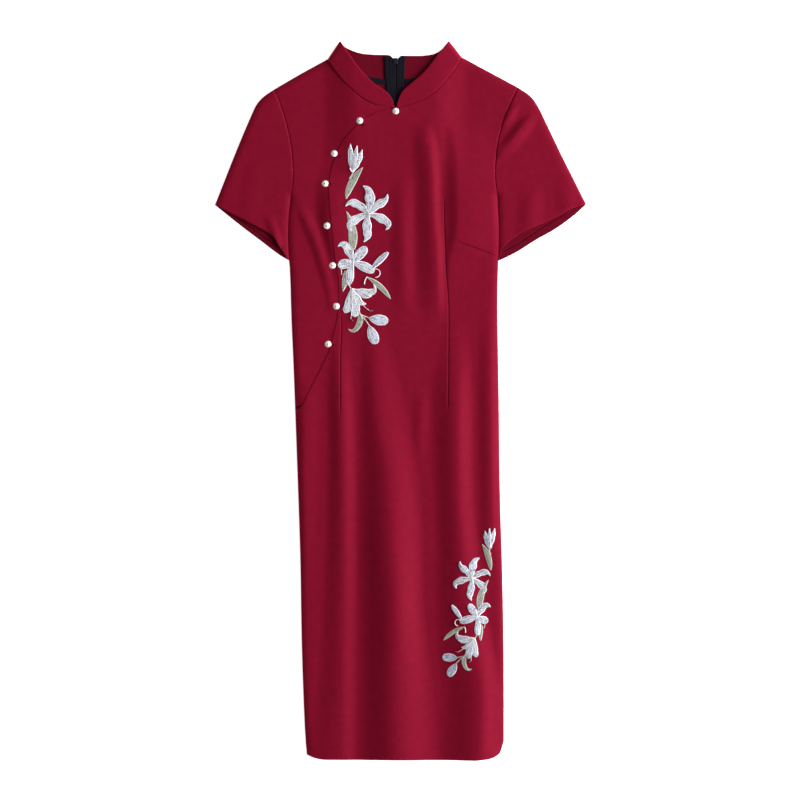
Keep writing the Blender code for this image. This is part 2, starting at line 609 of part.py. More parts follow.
def zip_rows(top_y, last=()):
    """Y of each row of a strip, in a column, with rows where the zip climbs onto the collar."""
    return np.sort(np.concatenate([np.linspace(ZIP_FOOT, top_y, 26), ZIP_STEP, last]))[:, None]


def tape_half(y, away):
    return np.interp(y, *np.transpose(TAPE_EDGE)) - away * TAPE_AWRY


def zip_tape(name, away, material):
    """A tape from the chain out, whose top end is turned down to the middle."""
    clear = CHAIN_HALF + GAP
    y = zip_rows(ZIP_TOP, [NOTCH_FOOT - 1])
    half = tape_half(y, away)
    out = np.concatenate([np.full_like(half, clear), np.full_like(half, NOTCH_HALF), half], axis=1)
    rows = np.repeat(y, 3, axis=1)
    rows[:, 0] = np.minimum(rows[:, 0], NOTCH_FOOT)
    if away < 0:
        out, rows = out[:, ::-1], rows[:, ::-1]
    zip_strip(name, away * out, rows, TAPE_CLOTH, material)


def zip_fastener(tape, black, steel):
    """Two tapes sewn behind the back edges, the closed chain between them, its slider and its pull."""
    zip_tape("zip_tape_right", -1, tape)
    zip_tape("zip_tape_left", 1, tape)
    chain_y = zip_rows(SLIDER_Y - SLIDER_LONG / 2 - GAP)
    sides = np.repeat([[-CHAIN_HALF, CHAIN_HALF]], len(chain_y), axis=0)
    zip_strip("zip_chain", sides, chain_y, CHAIN_HIGH, black)

    at = (NECK_X, SLIDER_Y, 0)
    inside_z = NECK_LIFT + COLLAR_CLOTH + GAP + TAPE_CLOTH + GAP
    outside_z = NECK_LIFT - GAP
    wide, long = SLIDER_WIDE / 2, SLIDER_LONG / 2
    top = block("zip_slider", (-wide, -long, inside_z), (wide, long, inside_z + SLIDER_TOP))
    slider = add("zip_slider", top, steel, at)
    half, start, end = SLIDER_NECK
    near, far, reach = SLIDER_CHEEK
    cheek_low, cheek_high = PULL_PIN_Z - SLIDER_SOLE, outside_z - SUNK
    parts = [
        block("slider_neck", (-half, start, outside_z - SUNK), (half, end, inside_z + SUNK)),
        block("slider_plate", (-wide, -long, outside_z - SLIDER_SOLE), (wide, long, outside_z)),
        block("slider_cheek_right", (-far, -reach, cheek_low), (-near, reach, cheek_high)),
        block("slider_cheek_left", (near, -reach, cheek_low), (far, reach, cheek_high)),
        rod("slider_pin", PULL_PIN / 2, (near + far) / 2, PULL_PIN_Z),
    ]
    join(slider, [add(part.name, part, steel, at) for part in parts])

    pull = add("zip_pull", plate("zip_pull", PULL_OUTLINE, PULL_THICK), steel, (NECK_X, SLIDER_Y, PULL_PIN_Z))
    pull.rotation_euler.x = math.radians(PULL_TILT)
    round_pin = rod("pull_knuckle", PULL_PIN / 2 + KNUCKLE_WALL, KNUCKLE_HALF, 0)
    knuckle = add("pull_knuckle", round_pin, steel, parent=pull)
    eye = add("pull_eye", rod("pull_eye", PULL_PIN / 2 + GAP, EYE_HALF, 0), steel, parent=pull)
    join(pull, [knuckle])
    join(pull, [eye], "DIFFERENCE")


def neck_bindings(tape):
    """Tape over the inside of the back neck seam, on each side of the zip."""
    for side, line, away in (("right", RIGHT_BACK_NECK, -1), ("left", LEFT_BACK_NECK, 1)):
        low = along(line, BINDING_STOPS) - (0, BINDING_DROP)
        low[0, 0] = NECK_X + away * (float(tape_half(BINDING_Y, away)) + 2 * GAP)
        rows = np.linspace(0, BINDING_WIDE, 3)
        flat = np.array([low + (0, rise) for rise in rows])
        if away < 0:
            flat = flat[:, ::-1]
        height = COLLAR_CLOTH + GAP + BINDING_CLOTH
        panel("neck_binding_" + side, flat, lambda xy: np.full(xy.shape[:-1], height), BINDING_CLOTH, tape)


def cord(name, path, thick, material, sides=5):
    """A round cord along a path of points."""
    run = np.gradient(path, axis=0)
    run /= np.linalg.norm(run, axis=1, keepdims=True)
    across = np.cross(run, (0, 0, 1.0))
    across /= np.linalg.norm(across, axis=1, keepdims=True)
    up = np.cross(across, run)
    turns = 2 * np.pi * np.arange(sides) / sides
    rings = path[:, None] + thick / 2 * (
        np.cos(turns)[None, :, None] * across[:, None] + np.sin(turns)[None, :, None] * up[:, None]
    )
    faces = [tuple(range(sides)), tuple(range(len(path) * sides - 1, (len(path) - 1) * sides - 1, -1))]
    for i in range(len(path) - 1):
        for k in range(sides):
            a, b = i * sides + k, i * sides + (k + 1) % sides
            faces.append((a, a + sides, b + sides, b))
    return add(name, mesh_of(name, rings.reshape(-1, 3), faces), material)


def buttons(pearl, red):
    """A pearl on a shank at each place, and the cord loop from the flap that goes round the shank."""
    places = [NECK_PEARL] + FLAP_PEARLS
    flap = dense(FLAP)
    for number, place in enumerate(places, 1):
        xy = np.array(place, float)
        raised = float(lift(xy))
        flap_top = float(front_height(xy)) + raised
        on_flap = number == 1
        foot = (flap_top if on_flap else float(right_front_height(xy)) + raised) + 3 * GAP
        low = flap_top + PEARL_OVER_FLAP
        radius = PEARL / 2
        neck_angle = math.asin(SHANK / 2 / radius)
        turns = np.linspace(neck_angle, math.pi, 7)[:-1]
        ball = [(radius * math.sin(t), low + radius - radius * math.cos(t)) for t in turns]
        profile = [(0, foot), (SHANK / 2, foot)] + ball + [(0, low + PEARL)]
        add(f"pearl_{number}", turned(f"pearl_{number}", profile, 12), pearl, (*xy, 0))

        _, _, near = nearest(xy, flap)
        step = flap[np.clip(np.abs(flap - near[:2]).sum(1).argmin() + np.array([-1, 1]), 0, len(flap) - 1)]
        along_edge = (step[1] - step[0]) / np.linalg.norm(step[1] - step[0])
        inward = np.array([0.0, 1.0]) if on_flap else np.array([along_edge[1], -along_edge[0]])
        leg = LOOP_LEG_NECK if on_flap else LOOP_LEG
        round_shank = np.radians(np.linspace(90, 270, 7))
        local = [(leg, LOOP_ENDS), (leg / 2, LOOP_ROUND * LOOP_WAIST)]
        local += [(LOOP_ROUND * math.cos(t), LOOP_ROUND * math.sin(t)) for t in round_shank]
        local += [(leg / 2, -LOOP_ROUND * LOOP_WAIST), (leg, -LOOP_ENDS)]
        side = np.array([-inward[1], inward[0]])
        flat = np.array([xy + u * inward + v * side for u, v in local])
        height = front_height(flat) + lift(flat) + LOOP_OVER_FLAP + LOOP_CORD / 2
        cord(f"loop_{number}", np.column_stack([flat, height]), LOOP_CORD, red)


def clear_scene():
    for item in list(bpy.data.objects):
        bpy.data.objects.remove(item)


def main():
    clear_scene()
    red = colour("crimson_crepe", (0.24, 0.008, 0.025), 0.55, sheen=0.3)
    tape = colour("navy_tape", (0.013, 0.014, 0.022), 0.8)
    black = colour("navy_coil", (0.012, 0.013, 0.02), 0.4)
    steel = colour("navy_enamel", (0.012, 0.013, 0.02), 0.3)
    pearl = colour("white_pearl", (0.85, 0.84, 0.82), 0.15)
    front_pieces(red)
    back_pieces(red)
    right_sleeve = (RIGHT_ARMHOLE, RIGHT_SLEEVE_FOLD, RIGHT_UNDERARM, RIGHT_CUFF_FRONT, RIGHT_CUFF_BACK)
    left_sleeve = (LEFT_ARMHOLE, LEFT_SLEEVE_FOLD, LEFT_UNDERARM, LEFT_CUFF_FRONT, LEFT_CUFF_BACK)
    sleeve("sleeve_right", right_sleeve, RIGHT_SLEEVE_FOLDS, -1, red)
    sleeve("sleeve_left", left_sleeve, LEFT_SLEEVE_FOLDS, 1, red)
    collar_half("collar_right", RIGHT_NECK, RIGHT_BACK_NECK, RIGHT_COLLAR_FRONT, RIGHT_COLLAR_BACK, -1, red)
    collar_half("collar_left", LEFT_NECK, LEFT_BACK_NECK, LEFT_COLLAR_FRONT, LEFT_COLLAR_BACK, 1, red)
    zip_fastener(tape, black, steel)
    neck_bindings(tape)
    buttons(pearl, red)


main()
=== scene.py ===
# %% [markdown]
# # A cheongsam dress, laid flat
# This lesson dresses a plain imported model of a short-sleeved cheongsam: crimson crepe with a stand
# collar, a curved flap that buttons down the wearer's right side, a dark zip behind, and two embroidered
# sprays of lilies. The cloth is made first, then the zip and the buttons, then the needlework. Tables are
# in millimetres, with the hem towards -Y and the collar towards +Y, and right and left are the wearer's.

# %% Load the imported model
import math

import bmesh
import bpy
import numpy as np
from mathutils import Matrix, Vector


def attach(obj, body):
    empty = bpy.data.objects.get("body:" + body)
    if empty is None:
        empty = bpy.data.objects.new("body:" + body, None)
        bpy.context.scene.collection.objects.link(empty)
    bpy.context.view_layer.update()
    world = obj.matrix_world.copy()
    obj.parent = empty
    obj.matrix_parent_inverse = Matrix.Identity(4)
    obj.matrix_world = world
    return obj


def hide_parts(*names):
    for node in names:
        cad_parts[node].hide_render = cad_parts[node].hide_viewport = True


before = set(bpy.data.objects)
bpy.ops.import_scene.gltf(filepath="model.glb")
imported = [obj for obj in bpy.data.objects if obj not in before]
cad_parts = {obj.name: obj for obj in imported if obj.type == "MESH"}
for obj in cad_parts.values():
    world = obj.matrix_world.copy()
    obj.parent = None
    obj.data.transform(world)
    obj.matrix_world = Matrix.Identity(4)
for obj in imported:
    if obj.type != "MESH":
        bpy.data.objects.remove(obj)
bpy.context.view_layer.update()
MM = 0.001

# %% [markdown]
# ## The camera
# The dress is seen from straight above, from far enough that its near and far folds are drawn at one
# scale. A long lens does that: here it sees 1248 mm of the surface across the picture from 10 m up. Its
# middle is a hair off the dress's own middle.

# %% Set the camera
VIEW_ACROSS = 1.248
CAMERA_HEIGHT = 10.0
VIEW_MIDDLE = (-0.0008, 0.0016)

camera_data = bpy.data.cameras.new("camera")
camera_data.sensor_width = 36.0
camera_data.lens = camera_data.sensor_width * CAMERA_HEIGHT / VIEW_ACROSS
camera = bpy.data.objects.new("camera", camera_data)
camera.location = (*VIEW_MIDDLE, CAMERA_HEIGHT)
bpy.context.scene.collection.objects.link(camera)
bpy.context.scene.camera = camera
print("lens", round(camera_data.lens, 1), "mm")

# %% [markdown]
# ## Curves
# A dressmaker's pattern is a few marks joined by smooth curves. Here a cut edge is a short table of the
# points that it passes, and a spline joins them. Sampling it at shares of its length gives as many points
# as a piece needs, so a coarse solid and a fine visible cloth can follow one and the same line.


# %% Smooth lines through a few points
def ease(share):
    """0 to 1, level at both ends."""
    t = np.clip(share, 0.0, 1.0)
    return t * t * (3 - 2 * t)


def dense(rows, per_span=12):
    """A smooth curve through the rows of numbers, as many more rows (a centripetal Catmull-Rom spline)."""
    p = np.array(rows, float)
    knots = np.concatenate([[0], np.cumsum(np.linalg.norm(np.diff(p[:, :2], axis=0), axis=1) ** 0.5)])
    chord = np.diff(p, axis=0) / np.diff(knots)[:, None]
    tangent = np.vstack([chord[:1], (chord[:-1] + chord[1:]) / 2, chord[-1:]])
    made = [p[:1]]
    for i, span in enumerate(np.diff(knots)):
        t = np.linspace(0, 1, per_span + 1)[1:, None]
        made.append(
            (2 * t**3 - 3 * t**2 + 1) * p[i]
            + (t**3 - 2 * t**2 + t) * span * tangent[i]
            + (3 * t**2 - 2 * t**3) * p[i + 1]
            + (t**3 - t**2) * span * tangent[i + 1]
        )
    return np.vstack(made)


def length_of(rows):
    return float(np.linalg.norm(np.diff(dense(rows)[:, :2], axis=0), axis=1).sum())


def along(rows, stops):
    """Points of the curve at these shares of its length, or at that many even ones."""
    if np.isscalar(stops):
        stops = np.linspace(0, 1, int(stops))
    line = dense(rows)
    run = np.concatenate([[0], np.cumsum(np.linalg.norm(np.diff(line, axis=0), axis=1))])
    spots = np.asarray(stops) * run[-1]
    return np.stack([np.interp(spots, run, column) for column in line.T], axis=1)


def nearest(xy, line):
    """(distance, signed side, row) of the point of the line that is nearest to each xy."""
    flat = xy.reshape(-1, 2)
    start, run = line[:-1, :2], np.diff(line[:, :2], axis=0)
    squared = (run**2).sum(-1)
    found = []
    for part in np.array_split(flat, max(1, len(flat) // 8000)):
        offset = part[:, None, :] - start
        t = np.clip((offset * run).sum(-1) / squared, 0, 1)
        away = offset - t[..., None] * run
        distance = np.linalg.norm(away, axis=-1)
        best = distance.argmin(-1)
        k = np.arange(len(part))
        side = run[best, 0] * away[k, best, 1] - run[best, 1] * away[k, best, 0]
        row = line[best] + t[k, best][:, None] * (line[best + 1] - line[best])
        found.append(np.column_stack([distance[k, best], side, row]))
    whole = np.vstack(found).reshape(*xy.shape[:-1], -1)
    return whole[..., 0], whole[..., 1], whole[..., 2:]


def moved(line, distance):
    """The line, moved to its left, or to its right if the distance is negative."""
    run = np.gradient(line, axis=0)
    left = np.stack([-run[:, 1], run[:, 0]], axis=1)
    return line + distance * left / np.linalg.norm(left, axis=1, keepdims=True)


def run_on(lines):
    """One line from several that end where the next starts."""
    return np.vstack([line[:-1] for line in lines[:-1]] + [lines[-1]])


# %% [markdown]
# ## The cut
# Each panel has one table for each of its edges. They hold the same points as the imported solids, so the
# fine cloth lies where the solid does: the side seams, the armholes, the shoulders, the neck, and the
# flap's long double curve from the collar to the hip.

# %% Edges of the panels, (x, y)
RIGHT_SIDE = [(-146, -551), (-148, -530), (-151, -466), (-154, -373), (-156, -248), (-159, -154), (-164, -14)]
RIGHT_SIDE_UPPER = [
    (-164, -14), (-167, 64), (-169.8, 126), (-172.3, 205), (-174.8, 230), (-175.6, 262), (-174.6, 291),
    (-171, 318),
]  # fmt: skip
LEFT_SIDE = [(161, -530), (161, -466), (160.5, -373), (158, -248), (155, -154), (153, 2)]
LEFT_SIDE_UPPER = [(153, 2), (152, 64), (151, 126), (151, 173), (152.5, 225), (153.5, 262), (151, 320)]
RIGHT_HEM_CORNER = [(-120, -559.3), (-134, -556.5), (-146, -551)]
LEFT_HEM_CORNER = [(116, -560), (137, -558.5), (153, -551), (161, -530)]
RIGHT_ARMHOLE = [(-171, 318), (-167.5, 342), (-168, 366), (-170.5, 396), (-178, 432), (-188, 464), (-197, 486)]
LEFT_ARMHOLE = [(151, 320), (147.5, 345), (147.5, 368), (150.5, 399), (160, 438), (171, 465), (183, 489)]
RIGHT_SHOULDER = [(-197, 486), (-154, 511), (-114, 533)]
LEFT_SHOULDER = [(183, 489), (138, 513), (96, 536)]
RIGHT_NECK = [(-8, 457), (-15, 458), (-33, 460), (-48, 465), (-63, 474), (-88, 497), (-108, 522), (-114, 533)]
LEFT_NECK = [(-8, 457), (-1, 458.5), (15, 462), (30, 468), (44, 476), (59, 487), (83, 515), (96, 536)]
RIGHT_BACK_NECK = [(-8, 498), (-30, 499), (-54, 504), (-76, 512), (-98, 522), (-114, 533)]
LEFT_BACK_NECK = [(-8, 498), (14, 499), (38, 504), (60, 513), (80, 524), (96, 536)]
CENTRE_BACK = [(6, -559.5), (2, -300), (-3, 0), (-7, 300), (-8, 498)]
FLAP = [
    (-164, -14), (-154, -7), (-145, 10), (-131, 37), (-119, 61), (-110, 81), (-106, 98), (-101, 117),
    (-97.5, 138), (-96, 160), (-96.5, 181), (-98, 200), (-102, 224), (-106, 262), (-109.5, 295), (-112, 324),
    (-111.5, 338), (-108, 361), (-99, 387), (-89, 406), (-70, 428), (-60, 438), (-45, 446), (-26, 453.5),
    (-8, 457),
]  # fmt: skip
UNDERLAP = [
    (-152, -5.5), (-138, -3), (-120, 22), (-105, 50), (-93, 74), (-86, 100), (-81, 130), (-80, 165),
    (-82, 200), (-87, 240), (-93, 290), (-95.5, 325), (-92, 358), (-84, 382), (-73, 403), (-54, 424),
    (-34, 437), (-16, 446),
]  # fmt: skip

# %% Edges of the sleeves and of the collar, (x, y)
RIGHT_SLEEVE_FOLD = [(-197, 486), (-213, 475), (-224, 463), (-236, 438), (-257, 388), (-289.4, 306)]
LEFT_SLEEVE_FOLD = [(183, 489), (202, 476), (214, 460), (225, 438), (249, 388), (289.4, 307)]
RIGHT_UNDERARM = [(-171.8, 317.5), (-175.3, 291), (-176.3, 262), (-175.5, 230), (-175, 220)]
LEFT_UNDERARM = [(151.9, 319.5), (153.4, 298), (154.2, 272), (154.1, 250), (153.4, 219)]
RIGHT_CUFF_FRONT = [(-289.4, 306), (-271, 296), (-247, 284), (-222, 271), (-200, 258), (-189, 241), (-175, 220)]
LEFT_CUFF_FRONT = [
    (289.4, 307), (266, 300), (242, 287), (212, 273), (190, 264), (170, 249), (159, 238.5), (153.4, 219),
]  # fmt: skip
RIGHT_CUFF_BACK = [(-289.4, 306), (-252, 276), (-219, 251), (-190, 229), (-175, 220)]
LEFT_CUFF_BACK = [(289.4, 307), (272, 291), (242, 269), (212, 252), (180, 232), (153.4, 219)]
RIGHT_COLLAR_FRONT = [(-10, 460.5), (-13.4, 470), (-21, 480), (-42, 495), (-66, 520), (-85, 547), (-95, 561.1)]
LEFT_COLLAR_FRONT = [(-5.6, 461), (-2.8, 470), (3, 482), (14, 492.5), (36, 511.5), (56, 536), (76, 561.1)]
RIGHT_COLLAR_BACK = [(-95, 561.1), (-87, 552), (-76, 546), (-62, 541.5), (-44, 539.5), (-8, 539)]
LEFT_COLLAR_BACK = [(76, 561.1), (66, 549), (54, 541), (38, 538), (20, 537.5), (-8, 538)]

# %% [markdown]
# ## How high the cloth lies
# Cloth on a table keeps soft ridges where it has slack. The back lies flat, and the front rises from the
# side folds to a low level with long folds on it. A fold is a row for each place along its crest: where
# it is, how high it stands, and how far its slope reaches to either side. A cosine across that reach
# makes a soft wave, steeper on the side with the shorter reach.

# %% Levels, in millimetres
CLOTH = 1.2
GAP = 0.3
LEVEL = 5.0
ROLL = 12.0
EDGE = CLOTH + GAP
UNDERLAP_DROP = 0.75  # less than the solids have, because the visible cloth is thinner
UNDERLAP_BLEND = 45.0
NECK_LIFT = 4.5
NECK_RISE = 3.0
NECK_X = -8.0
LIFT_FROM_Y, LIFT_FULL_Y = 300.0, 430.0
LIFT_FULL_X, LIFT_TO_X = 58.0, 115.0

# %% Folds: x, y, height, reach to the left and to the right of the crest
FOLDS = {
    "right_hip": [
        (-93, -560, 4.0, 60, 26), (-92, -420, 4.0, 38, 25), (-89, -250, 4.5, 32, 23),
        (-90, -80, 4.8, 26, 23), (-93, 15, 4.2, 24, 23), (-95, 70, 2.0, 20, 21), (-96, 112, 0.0, 20, 20),
    ],
    "right_side": [
        (-154, -300, 0.0, 14, 24), (-152, -200, 1.0, 16, 26), (-149, -90, 1.6, 18, 26),
        (-147, 0, 1.5, 18, 26), (-146, 50, 0.0, 18, 26),
    ],
    "skirt_centre": [
        (-6, -560, 12.0, 62, 70), (-8, -451, 12.5, 60, 64), (-8, -334, 13.5, 60, 48),
        (-14, -217, 12.3, 56, 52), (-20, -108, 9.0, 48, 50), (-33, -30, 6.0, 36, 50), (-40, 60, 3.0, 26, 34),
        (-46, 122, 0.0, 22, 25),
    ],
    "left_hip": [
        (122, -560, 10.0, 66, 38), (124, -451, 10.0, 64, 36), (111, -373, 8.5, 58, 36),
        (100, -310, 7.5, 50, 34), (94, -217, 7.0, 42, 30), (89.5, -154, 7.0, 40, 28),
        (88, -61, 7.4, 42, 28), (88, 2, 6.6, 43, 28), (88, 33, 4.8, 44, 26), (88, 64, 3.0, 36, 26),
        (86, 95, 1.4, 28, 26), (82, 126, 0.0, 20, 22),
    ],
    "mid_hip": [
        (28, -100, 0.0, 16, 16), (30, -60, 1.1, 16, 16), (32, -15, 1.3, 16, 16), (32, 30, 0.0, 16, 16),
    ],
    "left_side": [
        (142, -260, 0.0, 20, 16), (141, -180, 2.5, 22, 16), (140, -70, 3.0, 22, 16), (139, 40, 2.5, 22, 16),
        (138, 150, 0.0, 18, 16),
    ],
    "centre_bodice": [
        (7, 120, 0.0, 24, 20), (5, 189, 2.2, 24, 20), (4, 282, 2.4, 24, 20), (2, 372, 0.0, 24, 20),
    ],
    "bust_inner": [
        (58, 120, 0.0, 30, 16), (57, 157, 2.8, 32, 16), (56, 190, 4.2, 34, 16), (55, 228, 5.0, 34, 16),
        (53.5, 251, 5.0, 33, 16), (50, 298, 4.8, 30, 16), (49.5, 329, 4.9, 29, 16), (48, 360, 4.9, 30, 16),
        (44.5, 391, 4.5, 30, 17), (40, 415, 2.8, 26, 17), (37, 436, 0.0, 24, 20),
    ],
    "bust_outer": [
        (78, 165, 0.0, 10, 30), (78, 196, 0.9, 11, 40), (80, 228, 2.2, 13, 55), (88, 251, 4.2, 22, 70),
        (92, 278, 4.7, 24, 78), (92, 314, 4.8, 25, 78), (91, 366, 4.5, 25, 76), (89, 391, 3.6, 23, 70),
        (86, 415, 2.4, 20, 60), (84, 436, 0.0, 18, 50),
    ],
    "flap_edge": [
        (-96, 155, 0.0, 8, 20), (-97.5, 189, 1.2, 9, 28), (-101.5, 220, 3.2, 14, 44),
        (-105.5, 251, 5.0, 19, 58), (-108, 282, 5.6, 24, 62), (-109, 313, 4.8, 28, 56),
        (-110.5, 345, 1.8, 24, 38), (-112, 372, 0.0, 16, 20),
    ],
    "underarm_drag": [
        (-105, 132, 0.0, 10, 14), (-110, 172, 1.6, 12, 16), (-120, 212, 2.6, 14, 17),
        (-133, 251, 2.8, 14, 17), (-146, 281, 2.4, 14, 15), (-160, 312, 0.0, 10, 10),
    ],
}  # fmt: skip
LEFT_SLEEVE_FOLDS = {
    "cap_lower": [
        (157, 388, 1.8, 12, 18), (180, 415, 4.0, 14, 20), (196, 434, 3.4, 13, 18), (211, 447, 0.0, 10, 14),
    ],
    "cap_upper": [(162, 430, 1.2, 9, 10), (172, 450, 2.5, 10, 12), (184, 468, 0.0, 8, 10)],
    "cuff": [(200, 268, 2.0, 24, 26), (203, 300, 2.2, 24, 26), (206, 345, 0.0, 20, 22)],
    "cuff_outer": [(264, 290, 1.5, 24, 18), (260, 315, 1.5, 24, 18), (250, 350, 0.0, 20, 16)],
}  # fmt: skip
RIGHT_SLEEVE_FOLDS = {
    "cuff_corner": [(-192, 246, 2.4, 10, 11), (-198, 266, 2.2, 10, 12), (-208, 292, 0.0, 12, 12)],
    "cuff": [(-238, 286, 0.6, 20, 20), (-232, 330, 0.8, 22, 22), (-224, 380, 0.0, 20, 20)],
}
print(len(FOLDS), "folds on the front")

# %% [markdown]
# ## Darts and seams
# A dart is a wedge of cloth taken in behind a straight seam, and from the face it is one thin line that
# dips. A mesh fine enough to carve a line a millimetre wide would be huge. Instead each point of the
# cloth keeps its signed distance from each dart, as an attribute. A distance changes evenly across the
# cloth, so it stays exact between the points, and the material turns it into a groove as fine as the
# thread that made it, with painted shade darkening the colour in the groove. An edge that is sewn to the
# next piece really turns down, in the mesh, so that two such edges meet in a valley.

# %% Mark the darts
FRONT_DARTS = [
    [(68, 318), (68.5, 267), (69.7, 236), (70.8, 204), (73.3, 173), (74.9, 142), (74.8, 83), (74, -14)],
    [(-94.5, 136), (-92.5, 130), (-94, 64), (-94, -24)],
    [(84, 250), (118, 238), (152, 225)],
]
BACK_DARTS = [[(-72, 190), (-74, 60), (-73, -60)], [(66, 190), (66, 60), (66, -60)]]
SEAM_DIP, SEAM_WIDE = 0.55, 1.0
FAR = 50.0
DART_FADES = 12.0


def mark_darts(piece, darts):
    """Keeps each point's distance in mm across up to three lines, and how far in from their ends it is."""
    count = len(piece.data.vertices)
    xy = np.empty(count * 3)
    piece.data.vertices.foreach_get("co", xy)
    xy = xy.reshape(-1, 3)[:, :2] / MM
    across, reach = np.full((count, 3), FAR), np.zeros((count, 3))
    for k, rows in enumerate(darts):
        line = dense(rows)
        distance, side, near = nearest(xy, line)
        across[:, k] = np.where(side > 0, distance, -distance)
        ends = np.minimum(np.linalg.norm(near - line[0], axis=1), np.linalg.norm(near - line[-1], axis=1))
        reach[:, k] = ease(ends / DART_FADES)
    for name, values in (("darts", across), ("dart_reach", reach)):
        piece.data.attributes.new(name, "FLOAT_VECTOR", "POINT").data.foreach_set("vector", values.ravel())


def seam_dip(xy, lines):
    """How far an edge that is sewn to the next piece turns down into the seam."""
    distance = np.min([nearest(xy, dense(line))[0] for line in lines], axis=0)
    return SEAM_DIP * np.exp(-((distance / SEAM_WIDE) ** 2))


def ripple(xy):
    """The last unevenness of worn cloth: slow waves of a sixth of a millimetre."""
    x, y = xy[..., 0], xy[..., 1]
    return 0.07 * (
        np.sin(x / 9.1 + 0.8 * np.sin(y / 31.0))
        + 0.8 * np.sin(y / 14.3 + 1.7 + 0.6 * np.sin(x / 23.0))
        + 0.5 * np.sin((x + y) / 6.3 + 0.4)
    )


# %% Work out the heights of the front's layers
def folds_height(xy, folds):
    """Height that the folds add at each xy."""
    total = np.zeros(xy.shape[:-1])
    for rows in folds.values():
        distance, side, row = nearest(xy, dense(rows, 6))
        reach = np.where(side > 0, row[..., 3], row[..., 4])
        total += row[..., 2] * (0.5 + 0.5 * np.cos(np.pi * np.clip(distance / reach, 0, 1)))
    return total


def near_neck(xy):
    """1 round the neck, falling to 0 lower down and out towards the shoulders."""
    x, y = xy[..., 0], xy[..., 1]
    up = ease((y - LIFT_FROM_Y) / (LIFT_FULL_Y - LIFT_FROM_Y))
    return up * (1 - ease((abs(x - NECK_X) - LIFT_FULL_X) / (LIFT_TO_X - LIFT_FULL_X)))


def lift(xy):
    """How far the neck is held off the surface at each xy."""
    return NECK_LIFT * near_neck(xy)


def rolled(xy, lines, level, reach=ROLL):
    """Height over the surface of a layer that rises from its folded edges, the lines, to its level."""
    inset = np.min([nearest(xy, dense(line))[0] for line in lines], axis=0)
    share = np.sqrt(1 - (1 - np.clip(inset / reach, 0, 1)) ** 2)
    return EDGE + (level - EDGE) * share


BODY_FOLDED_EDGES = [
    RIGHT_SIDE, RIGHT_SIDE_UPPER, LEFT_SIDE, LEFT_SIDE_UPPER, LEFT_HEM_CORNER[2:], RIGHT_SHOULDER,
    LEFT_SHOULDER,
]  # fmt: skip


def front_height(xy):
    """Top of the front, before the lift of the neck."""
    return rolled(xy, BODY_FOLDED_EDGES, LEVEL + NECK_RISE * near_neck(xy) + folds_height(xy, FOLDS))


def right_front_height(xy):
    """The layer that goes under the flap: lower there, and at the front's level further off."""
    distance, side = nearest(xy, dense(FLAP))[:2]
    away = np.where(side > 0, distance, 0.0)
    drop = UNDERLAP_DROP * (1 - ease(away / UNDERLAP_BLEND))
    plain = front_height(xy)
    return np.maximum(plain - drop, np.minimum(plain, EDGE + CLOTH))


def main_front_face(xy):
    return front_height(xy) + ripple(xy) - seam_dip(xy, [LEFT_ARMHOLE, LEFT_NECK])


def right_front_face(xy):
    return right_front_height(xy) + ripple(xy) - seam_dip(xy, [RIGHT_ARMHOLE, RIGHT_NECK])


# %% [markdown]
# ## A wall of cloth
# Cloth has two faces and a turned rim between them. Here a grid of points is the outer face. Moving each
# point in along its normal makes the inner one, and a third ring of points, pushed out a little, rounds
# the rim, so that a cut edge catches the light as a fold does. Every piece keeps its flat pattern as a UV
# map in metres, and the weave reads that map, so the threads bend with the cloth.


# %% Build a closed wall from a grid of points
VISIBLE_CLOTH = 0.6


def normals_of(grid, ring):
    """Unit normals of a grid of points. Along a ring, the last column is followed by the first."""
    down = np.gradient(grid, axis=0)
    across = (np.roll(grid, -1, axis=1) - np.roll(grid, 1, axis=1)) / 2 if ring else np.gradient(grid, axis=1)
    normal = np.cross(across, down)
    return normal / np.linalg.norm(normal, axis=-1, keepdims=True)


def place(name, mesh, material):
    made = bpy.data.objects.new(name, mesh)
    if not mesh.materials:
        mesh.materials.append(material)
    bpy.context.scene.collection.objects.link(made)
    return made


def mesh_of(name, points, faces, pattern=None, sharp=None):
    """A smooth mesh in metres from points in millimetres, with its flat pattern as a UV map."""
    mesh = bpy.data.meshes.new(name)
    mesh.from_pydata((np.asarray(points, float) * MM).tolist(), [], faces)
    mesh.polygons.foreach_set("use_smooth", [True] * len(mesh.polygons))
    if sharp is not None:
        mesh.set_sharp_from_angle(angle=math.radians(sharp))
    if pattern is not None:
        corners = np.empty(len(mesh.loops), np.int32)
        mesh.loops.foreach_get("vertex_index", corners)
        layer = mesh.uv_layers.new(name="pattern")
        layer.data.foreach_set("uv", (np.asarray(pattern, float) * MM)[corners].ravel())
    mesh.update()
    return mesh


def open_edges(index, ring):
    """The loops of points round the grid's open edges, each with the points next to it."""
    if ring:
        return [(index[0, ::-1], index[1, ::-1]), (index[-1], index[-2])]
    edge = np.concatenate([index[0, ::-1], index[1:, 0], index[-1, 1:], index[-2:0:-1, -1]])
    beside = np.concatenate([index[1, ::-1], index[1:, 1], index[-2, 1:], index[-2:0:-1, -2]])
    return [(edge, beside)]


